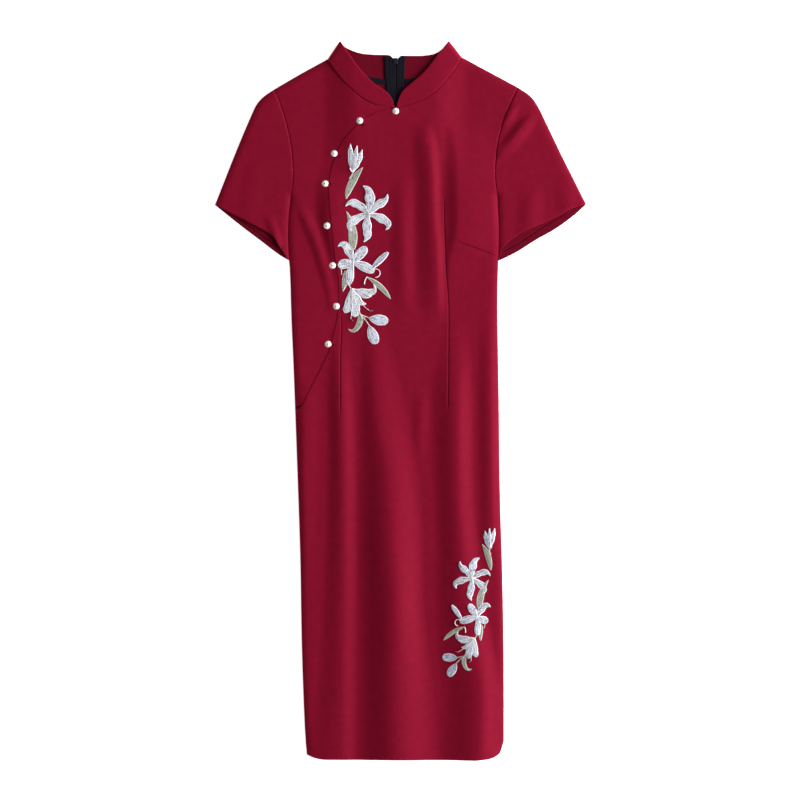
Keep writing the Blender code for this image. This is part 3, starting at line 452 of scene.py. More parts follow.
def wall(name, outer, thickness, material, ring=False, lowest=None, rim=0.3, inside_up=False):
    """A closed wall of cloth under a grid of outer points, with a rounded rim at its open edges."""
    inner = outer - thickness * normals_of(outer, ring)
    if lowest is not None:
        inner[..., 2] = np.maximum(inner[..., 2], lowest)
    rows, columns = outer.shape[:2]
    count = rows * columns
    index = np.arange(count).reshape(rows, columns)
    grid = np.concatenate([index, index[:, :1]], axis=1) if ring else index
    a, b, c, d = grid[:-1, :-1], grid[:-1, 1:], grid[1:, :-1], grid[1:, 1:]
    faces = [np.stack([a, b, d, c], -1).reshape(-1, 4), np.stack([a, c, d, b], -1).reshape(-1, 4) + count]
    middle = ((outer + inner) / 2).reshape(-1, 3)
    points = [outer.reshape(-1, 3), inner.reshape(-1, 3)]
    for edge, beside in open_edges(index, ring):
        out = middle[edge] - middle[beside]
        out *= rim * thickness / np.maximum(np.linalg.norm(out, axis=1, keepdims=True), 1e-9)
        turn = sum(len(made) for made in points) + np.arange(len(edge))
        points.append(middle[edge] + out)
        faces.append(np.stack([edge, np.roll(edge, -1), np.roll(turn, -1), turn], -1))
        faces.append(np.stack([turn, np.roll(turn, -1), np.roll(edge, -1) + count, edge + count], -1))
    whole = np.vstack(points)
    made = place(name, mesh_of(name, whole, np.vstack(faces).tolist(), whole[:, :2]), material)
    reverse = np.zeros(len(whole))
    reverse[:count] = inside_up
    reverse[count : 2 * count] = not inside_up
    made.data.attributes.new("reverse", "FLOAT", "POINT").data.foreach_set("value", reverse)
    return made


def finer(stops, parts):
    """The same stops with each span cut into that many parts."""
    stops = np.linspace(0, 1, stops) if np.isscalar(stops) else np.asarray(stops, float)
    spans = len(stops) - 1
    return np.interp(np.linspace(0, spans, spans * parts + 1), np.arange(spans + 1), stops)


def ladder(left, right, middle, near=(0.0, 0.45, 1.0, 1.8, 2.9, 4.4, 6.6), whole=60.0):
    """Rows of (x, y) from each left point to its right one, with close columns by both sides."""
    rows = []
    for start, end in zip(left, right):
        length = np.linalg.norm(end - start)
        inset = np.array(near) * min(1.0, length / whole) / length
        even = np.linspace(inset[-1], 1 - inset[-1], middle + 2)[1:-1]
        share = np.concatenate([inset, even, 1 - inset[::-1]])
        rows.append(start + share[:, None] * (end - start))
    return np.array(rows)


def panel(name, flat, height, thickness, material, floor=None, inside_up=False):
    """A wall of cloth that lies at height(xy) over a grid of flat (x, y)."""
    raised = lift(flat)
    outer = np.dstack([flat, height(flat) + raised])
    lowest = None if floor is None else floor + raised
    return wall(name, outer, thickness, material, lowest=lowest, inside_up=inside_up)


# %% [markdown]
# ## Crepe
# Crepe is woven from threads twisted so hard that they shrink and crinkle, which gives a pebbly, matt
# face with a soft bloom. Its colour is nearly flat, so the light does the work: a fine noise is the
# crinkle, a slow one keeps the dye from looking printed, and a sheen lights the slopes. Where an edge
# turns down, the colour is brightened and the material glows a little, a painted highlight and a painted
# glow for the light that such edges catch, but not on the underside. The reverse is darker: partly the
# duller back of the crepe, partly painted shade for the insides. The groove of each dart and sewn line
# comes from the distances that the cloth keeps, and painted shade darkens its colour there.


# %% Helpers for materials
INPUTS = {
    "rough": "Roughness", "gloss": "Specular IOR Level", "metal": "Metallic", "sheen": "Sheen Weight",
    "sheen_rough": "Sheen Roughness", "sheen_tint": "Sheen Tint", "coat": "Coat Weight",
    "coat_rough": "Coat Roughness", "milky": "Subsurface Weight", "milky_reach": "Subsurface Radius",
    "milky_scale": "Subsurface Scale", "glow": "Emission Strength", "glow_colour": "Emission Color",
}  # fmt: skip


def node(tree, kind, inputs=None, **settings):
    """A new node. Each input, by name or number, is a value or another node's output."""
    made = tree.nodes.new(kind)
    for name, value in settings.items():
        setattr(made, name, value)
    for name, value in (inputs or {}).items():
        if isinstance(value, bpy.types.NodeSocket):
            tree.links.new(value, made.inputs[name])
        else:
            made.inputs[name].default_value = value
    return made


def new_material(name):
    made = bpy.data.materials.new(name)
    made.use_nodes = True
    return made, made.node_tree, made.node_tree.nodes["Principled BSDF"]


def maths(tree, operation, *values):
    return node(tree, "ShaderNodeMath", dict(enumerate(values)), operation=operation).outputs[0]


def scaled(tree, vector, factor):
    return node(tree, "ShaderNodeVectorMath", {0: vector, "Scale": factor}, operation="SCALE").outputs[0]


def between(tree, value, low, high, **to):
    """The value's place between low and high, as 0 to 1, or as other numbers if they are given."""
    inputs = {"Value": value, "From Min": low, "From Max": high}
    inputs |= {name.replace("_", " ").title(): number for name, number in to.items()}
    return node(tree, "ShaderNodeMapRange", inputs).outputs[0]


def stored(tree, name, output="Vector"):
    """What the mesh keeps under this name."""
    return node(tree, "ShaderNodeAttribute", attribute_name=name).outputs[output]


def speckle(tree, scale, detail=2.0):
    """Noise through the solid, for hard finishes."""
    spot = node(tree, "ShaderNodeTexCoord").outputs["Object"]
    return node(tree, "ShaderNodeTexNoise", {"Vector": spot, "Scale": scale, "Detail": detail}).outputs[0]


def finish(shader, links=None, **constants):
    """Links outputs to the shader's inputs, and sets the others to constants."""
    for name, output in (links or {}).items():
        shader.id_data.links.new(output, shader.inputs[name])
    for name, value in constants.items():
        shader.inputs[INPUTS[name]].default_value = value


def pattern_mm(tree):
    """The flat pattern's coordinates in millimetres."""
    flat = node(tree, "ShaderNodeUVMap", uv_map="pattern").outputs[0]
    return scaled(tree, flat, 1 / MM)


def noise(tree, vector, scale, detail=2.0, roughness=0.5):
    inputs = {"Vector": vector, "Scale": scale, "Detail": detail, "Roughness": roughness}
    return node(tree, "ShaderNodeTexNoise", inputs, noise_dimensions="2D").outputs[0]


def blend_colour(tree, factor, dark, light):
    inputs = {0: factor, 6: (*dark, 1), 7: (*light, 1)}
    return node(tree, "ShaderNodeMix", inputs, data_type="RGBA").outputs[2]


def bump(tree, height, distance, strength=1.0, normal=None):
    inputs = {"Height": height, "Distance": distance, "Strength": strength}
    if normal is not None:
        inputs["Normal"] = normal
    return node(tree, "ShaderNodeBump", inputs).outputs[0]


# %% Make the crepe
LINE_FINE = -0.9  # how fast a sewn line's groove fades, for each square millimetre
# How much painted shade darkens a sewn line's groove, and how deep its bump is.
LINE_PAINTED_SHADE, LINE_DEEP = 0.5, -0.0008
REVERSE_DULLER_AND_SHADE = 0.36
# The painted edge highlight and glow go where the face's upward slope lies in both of these ranges.
TILTED, FACING_UP = (0.88, 0.4), (-0.1, 0.2)  # ranges of the face's upward slope
PAINTED_EDGE_GAIN, PAINTED_EDGE_GLOW = 0.5, 0.45


def sewn_groove(tree):
    """1 on each line that the cloth keeps its distance from, falling to 0 within a millimetre or two."""
    across = stored(tree, "darts")
    squared = node(tree, "ShaderNodeVectorMath", {0: across, 1: across}, operation="MULTIPLY").outputs[0]
    squares = node(tree, "ShaderNodeSeparateXYZ", {0: squared}).outputs
    reaches = node(tree, "ShaderNodeSeparateXYZ", {0: stored(tree, "dart_reach")}).outputs
    groove = 0.0
    for square, share in zip(squares, reaches):
        line = maths(tree, "EXPONENT", maths(tree, "MULTIPLY", square, LINE_FINE))
        groove = maths(tree, "ADD", maths(tree, "MULTIPLY", line, share), groove)
    return groove


def painted_edge_light(tree):
    """Where the painted highlight and glow go: 0 on level cloth, 1 where an edge turns down, and 0 again on the
    underside.
    """
    normal = node(tree, "ShaderNodeNewGeometry").outputs["Normal"]
    upward = node(tree, "ShaderNodeSeparateXYZ", {0: normal}).outputs[2]
    return maths(tree, "MULTIPLY", between(tree, upward, *TILTED), between(tree, upward, *FACING_UP))


def crepe(name, light, dark, sheen):
    made, tree, shader = new_material(name)
    flat = pattern_mm(tree)
    crinkle, cloud = noise(tree, flat, 1.35, 3.0, 0.62), noise(tree, flat, 0.09, 2.0)
    groove, painted_edge_glow = sewn_groove(tree), painted_edge_light(tree)
    mixed = maths(tree, "ADD", maths(tree, "MULTIPLY", crinkle, 0.62), maths(tree, "MULTIPLY", cloud, 0.45))
    # Painted shade: the colour darkens along the groove of each dart and sewn line.
    shade = maths(tree, "SUBTRACT", mixed, maths(tree, "MULTIPLY", groove, LINE_PAINTED_SHADE))
    dye = blend_colour(tree, node(tree, "ShaderNodeClamp", {0: shade}).outputs[0], dark, light)
    # The reverse face is darker: partly the duller back of the crepe, partly painted shade for the insides that
    # lie in shadow.
    reverse = maths(tree, "MULTIPLY", stored(tree, "reverse", "Fac"), REVERSE_DULLER_AND_SHADE)
    # Painted highlight: the colour is brightened where an edge turns down.
    gain = maths(tree, "ADD", 1.0, maths(tree, "MULTIPLY", painted_edge_glow, PAINTED_EDGE_GAIN))
    bright = maths(tree, "MULTIPLY", maths(tree, "SUBTRACT", 1.0, reverse), gain)
    pebbles = bump(tree, crinkle, 0.00022, 0.55)
    links = {
        "Base Color": scaled(tree, dye, bright),
        # Painted glow: the turned edges give off a little of the cloth's own colour.
        "Emission Color": scaled(tree, light, painted_edge_glow),
        "Normal": bump(tree, groove, LINE_DEEP, 1.0, pebbles),
    }
    tint = (1.0, 0.06, 0.2, 1)
    finish(shader, links, glow=PAINTED_EDGE_GLOW, rough=0.62, gloss=0.03, sheen=sheen, sheen_rough=0.3, sheen_tint=tint)
    return made


CREPE = crepe("crimson_crepe", (0.245, 0.0050, 0.0255), (0.144, 0.0028, 0.0142), 0.35)
# A darker crepe, for the cords of the button loops.
CORD_CREPE = crepe("cord_crepe", (0.095, 0.0030, 0.0125), (0.055, 0.0016, 0.0070), 0.1)
print("crepe ready")

# %% [markdown]
# ## The front
# The main front is one piece from the hem to the left shoulder. Its right edge leaves the side seam at
# the hip and curves up to the neck as the flap, and a second, smaller front lies under the flap, where
# its edge can't be seen. Both are ladders of points between their two long edges, raised to the height of
# the folds.

# %% Lay the two fronts
ARMHOLE_STOPS = np.array([0, 0.03, 0.08, 0.16, 0.26, 0.37, 0.48, 0.59, 0.7, 0.8, 0.88, 0.94, 0.975, 1.0])
FLAP_STOPS = np.append([0, 0.012, 0.03], np.linspace(0.07, 1, 15))
NECK_STOPS = np.array([0, 0.06, 0.16, 0.28, 0.4, 0.52, 0.64, 0.76, 0.86, 0.93, 0.97, 1.0])


def lay_main_front():
    right = run_on([
        along(RIGHT_HEM_CORNER, finer(4, 2)),
        along(RIGHT_SIDE, finer(14, 7)),
        along(FLAP, finer(FLAP_STOPS, 6)),
        along(LEFT_NECK, finer(NECK_STOPS, 6)),
    ])
    left = run_on([
        along(LEFT_HEM_CORNER, finer(4, 2)),
        along(LEFT_SIDE, finer(14, 7)),
        along(LEFT_SIDE_UPPER, finer(16, 6)),
        along(LEFT_ARMHOLE, finer(ARMHOLE_STOPS, 6)),
    ])
    flat = ladder(right, left, 150)
    made = panel("main_front", flat, main_front_face, VISIBLE_CLOTH, CREPE, floor=EDGE)
    mark_darts(made, FRONT_DARTS)
    return made


def lay_right_front():
    outside = run_on([
        along(RIGHT_SIDE_UPPER, finer(np.linspace(0.018, 1, 12), 8)),
        along(RIGHT_ARMHOLE, finer(ARMHOLE_STOPS, 8)),
    ])
    inside = run_on([along(UNDERLAP, finer(15, 8)), along(RIGHT_NECK, finer(NECK_STOPS[1:], 8))])
    flat = ladder(outside, inside, 56)
    return panel("right_front", flat, right_front_face, VISIBLE_CLOTH, CREPE, floor=EDGE)


main_front = lay_main_front()
right_front = lay_right_front()
for piece in (main_front, right_front):
    print(piece.name, len(piece.data.polygons), "faces")

# %% [markdown]
# ## The back
# The back lies flat on the surface in two halves that meet at the zip. Only its inside shows, through the
# neck, and the whole of it from below, so it is a plain even sheet with a pair of waist darts.

# %% Lay the back
BACK_NECK_STOPS = np.array([0, 0.18, 0.34, 0.5, 0.66, 0.82, 0.92, 0.97, 1.0])
CENTRE_STOPS = np.append(np.linspace(0, 0.83, 9), np.linspace(0.83, 1, 11)[1:])


def lay_back(side, away):
    corner, lower, upper, armhole, shoulder, neck = {
        -1: (RIGHT_HEM_CORNER, RIGHT_SIDE, RIGHT_SIDE_UPPER, RIGHT_ARMHOLE, RIGHT_SHOULDER, RIGHT_BACK_NECK),
        1: (LEFT_HEM_CORNER, LEFT_SIDE, LEFT_SIDE_UPPER, LEFT_ARMHOLE, LEFT_SHOULDER, LEFT_BACK_NECK),
    }[away]
    parts = 4
    outside = run_on([
        along(corner, finer(3, parts)),
        along(lower, finer(4, parts)),
        along(upper, finer(4, parts)),
        along(armhole, finer(ARMHOLE_STOPS, parts)),
        along(shoulder, finer([0, 0.2, 0.4, 0.6, 0.8, 0.985], parts)),
    ])
    centre = along(CENTRE_BACK, finer(CENTRE_STOPS, parts)) + (away * GAP / 2, 0)
    inside = run_on([centre, along(neck, finer(np.append(BACK_NECK_STOPS[:-1], 0.985), parts))])
    left, right = (outside, inside) if away < 0 else (inside, outside)
    flat = ladder(left, right, 44, near=(0.0, 0.6, 1.6, 3.2))

    def face(xy):
        return CLOTH - 0.3 * SEAM_DIP * np.exp(-((nearest(xy, dense(neck))[0] / SEAM_WIDE) ** 2))

    made = panel("back_half_" + side, flat, face, CLOTH, CREPE, floor=0.0, inside_up=True)
    mark_darts(made, BACK_DARTS)
    return made


back_halves = {"right": lay_back("right", -1), "left": lay_back("left", 1)}
print("back laid")

# %% [markdown]
# ## The sleeves
# A short sleeve pressed flat is one tube: an upper layer, a lower one that lies on the surface, and two
# folds between them. Four edges are known, the armhole, the outer fold, the cuff and the underarm, so a
# Coons patch fills each layer. It blends the two pairs of opposite edges and takes away their shared
# corners.


# %% Press a tube flat
def between_edges(start, end, first, last, stops):
    """Points between four edges. The rows run from the start edge to the end edge."""
    s = stops[:, None]
    rows = []
    for t, low, high in zip(np.linspace(0, 1, len(first)), first, last):
        ruled = (1 - t) * start + t * end
        corners = (1 - t) * ((1 - s) * start[0] + s * start[-1]) + t * ((1 - s) * end[0] + s * end[-1])
        rows.append(ruled + (1 - s) * low + s * high - corners)
    return np.array(rows)


def flattened_tube(top, bottom, top_height, fold_lines, under_reach=2.5):
    """Outer points of the two layers: an upper one, and a lower one that lies on the surface."""
    upper = np.dstack([top, top_height(top) + lift(top)])
    rise = rolled(bottom, fold_lines, 2 * EDGE, reach=under_reach)
    lower = np.dstack([bottom, 2 * EDGE - rise + lift(bottom)])
    return upper, lower


# %% Lay the sleeves
SEAM = 0.4
UNDERARM_TUCK = 1.2  # how far the sleeve goes in under the side of the body
SLEEVE_SECTIONS = 9


def lay_sleeve(side, edges, folds, away):
    armhole, fold, underarm, cuff_front, cuff_back = edges
    fine = finer(ARMHOLE_STOPS, 5)
    stops = 1 - fine[::-1]
    start = moved(along(armhole, fine), -away * SEAM)[::-1]
    sections = finer(SLEEVE_SECTIONS, 9)
    first, last = along(fold, sections), along(underarm, sections) - (away * UNDERARM_TUCK, 0)
    first[0], last[0] = start[0], start[-1]
    layers = []
    for cuff in (cuff_front, cuff_back):
        end = along(cuff, stops)
        end[0], end[-1] = first[-1], last[-1]
        layers.append(between_edges(start, end, first, last, stops))
    coarse = [line[:: (len(line) - 1) // (SLEEVE_SECTIONS - 1)] for line in (first, last)]

    def top_height(xy):
        level = LEVEL + folds_height(xy, folds)
        return rolled(xy, coarse, level) + ripple(xy) - seam_dip(xy, [armhole])

    upper, lower = flattened_tube(*layers, top_height, coarse)
    ring = np.concatenate([upper, lower[:, -2:0:-1]], axis=1)
    ring = ring if away > 0 else ring[:, ::-1]
    return wall("sleeve_" + side + "_cloth", ring, VISIBLE_CLOTH, CREPE, ring=True)


RIGHT_SLEEVE = (RIGHT_ARMHOLE, RIGHT_SLEEVE_FOLD, RIGHT_UNDERARM, RIGHT_CUFF_FRONT, RIGHT_CUFF_BACK)
LEFT_SLEEVE = (LEFT_ARMHOLE, LEFT_SLEEVE_FOLD, LEFT_UNDERARM, LEFT_CUFF_FRONT, LEFT_CUFF_BACK)
sleeves = {
    "right": lay_sleeve("right", RIGHT_SLEEVE, RIGHT_SLEEVE_FOLDS, -1),
    "left": lay_sleeve("left", LEFT_SLEEVE, LEFT_SLEEVE_FOLDS, 1),
}
print("sleeves laid")

# %% [markdown]
# ## The collar
# The stand collar is a double band stiffened between its layers. Each half folds flat at its tip, with
# its front band over its back one, and the two front ends part below the throat. It is twice as thick as
# the dress, so its top edge is a full round rim.

# %% Lay the collar
COLLAR_CLOTH = 2.0
COLLAR_SLIT = [(0.7, GAP / 2), (0.85, 3.2), (1.0, 8.6)]  # share of its height, half of the opening
COLLAR_GIVES = 28.0  # the cloth is drawn aside for it within this of the middle


def lay_collar(side, neck, back_neck, top_front, top_back, away):
    parts = 5
    rows = finer([0, 0.25, 0.5, 0.7, 0.85, 1.0], parts)[:, None, None]
    front_stops, back_stops = finer(NECK_STOPS, parts), finer(BACK_NECK_STOPS, parts)
    low_front = moved(along(neck, front_stops), away * SEAM)[::-1]
    high_front = along(top_front, front_stops)[::-1]
    low_back = moved(along(back_neck, back_stops), away * SEAM)[::-1]
    high_back = along(top_back, 1 - back_stops[::-1])
    pulled = 0.25 * ease((np.arange(len(low_front)) - (len(low_front) - 1 - parts)) / parts)
    low_front += pulled[:, None] * (low_front[-1 - parts] - low_front[-1])
    low_back[0], high_back[0] = low_front[0], high_front[0]
    front = low_front + rows * (high_front - low_front)
    back = low_back + rows * (high_back - low_back)
    slit = np.interp(rows[:, 0, 0], *np.transpose(COLLAR_SLIT))[:, None]
    out = away * (back[..., 0] - NECK_X)
    out = np.where(out < COLLAR_GIVES, slit + out * (1 - slit / COLLAR_GIVES), out)
    back[..., 0] = NECK_X + away * out
    fold = [np.stack([low_front[0], high_front[0]])]

    def top_height(xy):
        return rolled(xy, fold, LEVEL + NECK_RISE, reach=8.0) - 0.6 * seam_dip(xy, [neck])

    upper, lower = flattened_tube(front, back, top_height, fold)
    strip = np.concatenate([upper[:, ::-1], lower[:, 1:]], axis=1)
    strip = strip if away > 0 else strip[:, ::-1]
    return wall("collar_" + side + "_band", strip, COLLAR_CLOTH - 0.2, CREPE, rim=0.4)


collar_bands = {
    "right": lay_collar("right", RIGHT_NECK, RIGHT_BACK_NECK, RIGHT_COLLAR_FRONT, RIGHT_COLLAR_BACK, -1),
    "left": lay_collar("left", LEFT_NECK, LEFT_BACK_NECK, LEFT_COLLAR_FRONT, LEFT_COLLAR_BACK, 1),
}
mark_darts(collar_bands["right"], [RIGHT_NECK])
mark_darts(collar_bands["left"], [LEFT_NECK])
print("collar laid")

# %% [markdown]
# ## Repeat along a path
# A coil zip has hundreds of equal loops and a hem has hundreds of equal stitches. A node tree makes them:
# it reads a path, cuts it into even steps, puts a copy of one small item at each, and turns the copy to
# the path. The items then become plain mesh, because an export drops instances.


# %% Build the tree that repeats an item
def start_tree(name, inputs):
    """A node tree with these inputs and their defaults, and the outputs of its input node."""
    tree = bpy.data.node_groups.new(name, "GeometryNodeTree")
    for label, kind, *default in inputs:
        made = tree.interface.new_socket(label, in_out="INPUT", socket_type="NodeSocket" + kind)
        if default:
            made.default_value = default[0]
    tree.interface.new_socket("Result", in_out="OUTPUT", socket_type="NodeSocketGeometry")
    return tree, tree.nodes.new("NodeGroupInput").outputs


def uneven_size(tree, given):
    """A size near 1 for each item, by the tree's unevenness and seed."""
    low, high = (maths(tree, kind, 1.0, given["Unevenness"]) for kind in ("SUBTRACT", "ADD"))
    inputs = {2: low, 3: high, "Seed": given["Seed"]}
    return node(tree, "FunctionNodeRandomValue", inputs, data_type="FLOAT").outputs[1]


def end_tree(tree, made, given):
    real = node(tree, "GeometryNodeRealizeInstances", {0: made}).outputs[0]
    inputs = {"Geometry": real, "Material": given["Finish"]}
    coloured = node(tree, "GeometryNodeSetMaterial", inputs).outputs[0]
    tree.links.new(coloured, tree.nodes.new("NodeGroupOutput").inputs[0])
    return tree


def repeat_tree():
    """Edges in, a copy of the item at each step of the path out."""
    tree, given = start_tree("repeat_along_path", [
        ("Path", "Geometry"), ("Item", "Object"), ("Spacing", "Float", 0.001), ("Unevenness", "Float", 0.0),
        ("Seed", "Int", 1), ("Finish", "Material"),
    ])  # fmt: skip
    curve = node(tree, "GeometryNodeMeshToCurve", {0: given["Path"]}).outputs[0]
    inputs = {"Curve": curve, "Length": given["Spacing"]}
    steps = node(tree, "GeometryNodeCurveToPoints", inputs, mode="LENGTH").outputs
    inputs = {"Object": given["Item"], "As Instance": True}
    item = node(tree, "GeometryNodeObjectInfo", inputs).outputs["Geometry"]
    inputs = {"Points": steps["Points"], "Instance": item, "Rotation": steps["Rotation"]}
    inputs["Scale"] = uneven_size(tree, given)
    copies = node(tree, "GeometryNodeInstanceOnPoints", inputs).outputs[0]
    return end_tree(tree, copies, given)


def grow(name, source, tree, values):
    """Runs the tree on a mesh of paths, and returns the result as a plain mesh object."""
    holder = bpy.data.objects.new(name + "_paths", source)
    bpy.context.scene.collection.objects.link(holder)
    modifier = holder.modifiers.new("grow", "NODES")
    modifier.node_group = tree
    sockets = [s for s in tree.interface.items_tree if s.item_type == "SOCKET" and s.in_out == "INPUT"]
    for label, value in values.items():
        modifier[next(s.identifier for s in sockets if s.name == label)] = value
    mesh = bpy.data.meshes.new_from_object(holder.evaluated_get(bpy.context.evaluated_depsgraph_get()))
    modifier.node_group = None
    holder.modifiers.clear()
    bpy.data.objects.remove(holder)
    mesh.name = name
    made = bpy.data.objects.new(name, mesh)
    bpy.context.scene.collection.objects.link(made)
    return made


def paths_mesh(name, lines):
    """One mesh of open lines of points, in millimetres."""
    mesh = bpy.data.meshes.new(name)
    counts = [len(line) for line in lines]
    starts = np.cumsum([0] + counts[:-1])
    edges = [(s + k, s + k + 1) for s, count in zip(starts, counts) for k in range(count - 1)]
    mesh.from_pydata((np.vstack(lines) * MM).tolist(), edges, [])
    return mesh


REPEAT = repeat_tree()

# %% [markdown]
# ## The zip
# A dark zip closes the centre back from the collar to below the waist. From inside, which is the side
# that shows through the neck, it is two woven tapes with the closed coil between them. The coil is a
# monofilament bent into loops, so one bent loop is made and repeated down each side, half a step out of
# phase.

# %% Make the zip's finishes
TAPE_RIBS, TAPE_WEFT = 5.2, 9.5  # radians for each millimetre


def tape_weave(name, light, dark):
    """A narrow woven tape: fine ribs along its length, crossed by the weft."""
    made, tree, shader = new_material(name)
    flat = node(tree, "ShaderNodeSeparateXYZ", {0: pattern_mm(tree)}).outputs
    ribs = maths(tree, "SINE", maths(tree, "MULTIPLY", flat[0], TAPE_RIBS))
    weft = maths(tree, "SINE", maths(tree, "MULTIPLY", flat[1], TAPE_WEFT))
    weave = maths(tree, "ADD", maths(tree, "MULTIPLY", ribs, 0.3), maths(tree, "MULTIPLY", weft, 0.2))
    fuzz = noise(tree, pattern_mm(tree), 0.8, 2.0)
    height = maths(tree, "ADD", weave, fuzz)
    links = {"Base Color": blend_colour(tree, height, dark, light), "Normal": bump(tree, height, 0.00018, 0.7)}
    finish(shader, links, rough=0.8, gloss=0.1, sheen=0.03)
    return made


def enamel(name, colour, roughness, grain, gloss):
    """A hard dark finish with a faint unevenness."""
    made, tree, shader = new_material(name)
    speck = speckle(tree, grain, 3.0)
    links = {
        "Base Color": blend_colour(tree, speck, colour, tuple(2.2 * part for part in colour)),
        "Roughness": between(tree, speck, 0.0, 1.0, to_min=roughness - 0.08, to_max=roughness + 0.1),
        "Normal": bump(tree, speck, 0.00004, 0.5),
    }
    finish(shader, links, gloss=gloss)
    return made


TAPE = tape_weave("navy_tape", (0.0062, 0.0070, 0.0150), (0.0020, 0.0023, 0.0050))
COIL = enamel("navy_coil", (0.0030, 0.0034, 0.0068), 0.5, 1500.0, 0.1)
ENAMEL = enamel("navy_enamel", (0.0034, 0.0038, 0.0070), 0.42, 700.0, 0.22)

# %% Lay the tapes
ZIP_TOP, ZIP_FOOT = 537.5, 40.0
ZIP_STEP = (484.0, 496.0)
TAPE_CLOTH = 1.0
TAPE_RIDGE, TAPE_RIDGES = 0.1, 2.5
TAPE_EDGE = [(440, 12.5), (483, 12.6), (504, 14.7), (537.5, 16.4)]  # y, half of the two tapes' width
TAPE_AWRY = 0.9  # how far they lie to the right of the seam
NOTCH_FOOT, NOTCH_HALF = 532.0, 8.0  # the tapes' ends are turned down to a V
CHAIN_HALF, CHAIN_HIGH = 2.0, 1.6
SLIDER_Y, SLIDER_WIDE, SLIDER_LONG = 530.0, 6.6, 9.2


def centre_x(y):
    """X of the centre-back seam."""
    line = dense(CENTRE_BACK)
    return np.interp(y, line[:, 1], line[:, 0])


def zip_foot(y):
    """Height of the zip's underside over the lifted surface: it lies on the back, and higher on the collar."""
    return CLOTH + GAP + (COLLAR_CLOTH - CLOTH) * ease((y - ZIP_STEP[0]) / (ZIP_STEP[1] - ZIP_STEP[0]))


def tape_half(y, away):
    return np.interp(y, *np.transpose(TAPE_EDGE)) - away * TAPE_AWRY


def lay_tape(side, away):
    """A tape from the chain out, with two soft ridges where it is woven double."""
    y = np.concatenate([np.linspace(ZIP_FOOT, 440, 60), np.linspace(440, ZIP_TOP, 50)[1:]])
    share = np.linspace(0, 1, 15) if away > 0 else np.linspace(1, 0, 15)
    clear = CHAIN_HALF + GAP
    out = clear + share * (tape_half(y, away)[:, None] - clear)
    notch = ZIP_TOP + (NOTCH_FOOT - ZIP_TOP) * np.clip((NOTCH_HALF - out) / (NOTCH_HALF - clear), 0, 1)
    plain = NOTCH_FOOT - 4
    bent = plain + (y[:, None] - plain) * (notch - plain) / (ZIP_TOP - plain)
    flat = np.dstack([centre_x(y)[:, None] + away * out, np.where(y[:, None] > plain, bent, y[:, None])])
    ridge = TAPE_RIDGE * np.cos(2 * np.pi * TAPE_RIDGES * share) - TAPE_RIDGE / 2

    def face(xy):
        return zip_foot(xy[..., 1]) + TAPE_CLOTH + ridge - TAPE_RIDGE

    return panel("tape_" + side, flat[::-1], face, TAPE_CLOTH - 0.2, TAPE)


tapes = {"right": lay_tape("right", -1), "left": lay_tape("left", 1)}
print("tapes laid")

# %% Bend one loop of the coil and repeat it
COIL_STEP = 1.35
CORE_THICK, CORE_DEEP = 0.85, 0.15  # the cord inside the coil, which closes it from behind


def tube(name, path, radius, sides, material, taper=None):
    """A round tube along a path of points, closed at both ends."""
    path = np.asarray(path, float)
    run = np.gradient(path, axis=0)
    run /= np.linalg.norm(run, axis=1, keepdims=True)
    up = np.where(np.abs(run[:, 2:3]) > 0.9, (1.0, 0.0, 0.0), (0.0, 0.0, 1.0))
    across = np.cross(run, up)
    across /= np.linalg.norm(across, axis=1, keepdims=True)
    rise = np.cross(across, run)
    turns = 2 * np.pi * np.arange(sides) / sides
    size = radius * (np.ones(len(path)) if taper is None else np.asarray(taper, float))
    rings = path[:, None] + size[:, None, None] * (
        np.cos(turns)[None, :, None] * across[:, None] + np.sin(turns)[None, :, None] * rise[:, None]
    )
    index = np.arange(len(path) * sides).reshape(len(path), sides)
    after = np.roll(index, -1, axis=1)
    faces = np.stack([index[:-1], index[1:], after[1:], after[:-1]], -1).reshape(-1, 4).tolist()
    faces += [index[0].tolist(), index[-1][::-1].tolist()]
    return place(name, mesh_of(name, rings.reshape(-1, 3), faces, sharp=60), material)


def coil_loop():
    """One bent loop, with the run of the zip along its Z: over the chain's middle and back."""
    bend = [(1.55, -0.3, -0.45), (0.3, 0.15, -0.3), (-0.35, 0.1, 0.0), (0.3, 0.15, 0.3), (1.55, -0.3, 0.45)]
    return tube("coil_loop", dense(bend, 2), 0.3, 5, COIL)


def chain_path(away, shift):
    y = np.arange(ZIP_FOOT + 2 + shift, SLIDER_Y - SLIDER_LONG / 2, 1.0)
    xy = np.column_stack([centre_x(y) + away * 0.35, y])
    return np.column_stack([xy, zip_foot(y) + lift(xy) + CHAIN_HIGH - 0.75])


def lay_chain():
    halves = []
    for side, away, shift in (("right", -1, 0.0), ("left", 1, COIL_STEP / 2)):
        loop = coil_loop()
        if away < 0:
            loop.data.transform(Matrix.Scale(-1, 4, (1, 0, 0)))
            loop.data.flip_normals()
        paths = paths_mesh("chain_path", [chain_path(away, shift)])
        values = {"Item": loop, "Spacing": COIL_STEP * MM, "Seed": 3, "Finish": COIL}
        halves.append(grow("coil_" + side, paths, REPEAT, values))
        bpy.data.objects.remove(loop)
    core = chain_path(0, 0.0)[::20] - (0, 0, CORE_DEEP)
    halves.append(tube("coil_core", core, CORE_THICK, 8, COIL))
    return join("zip_coil", halves)


def join(name, parts):
    """Several mesh objects as one."""
    with bpy.context.temp_override(active_object=parts[0], selected_editable_objects=parts):
        bpy.ops.object.join()
    parts[0].name = parts[0].data.name = name
    return parts[0]


zip_coil = lay_chain()
print("coil", len(zip_coil.data.polygons), "faces")

# %% [markdown]
# ## The slider and its pull
# The slider sits at the top, on the outside of the dress, where it faces the table. It is a small cast
# body with a bridge, and the drop-shaped pull hangs from the bridge's pin. The pull is a hard piece that
# really turns, so it rides on its own body, and the rest of the zip rides on the dress.


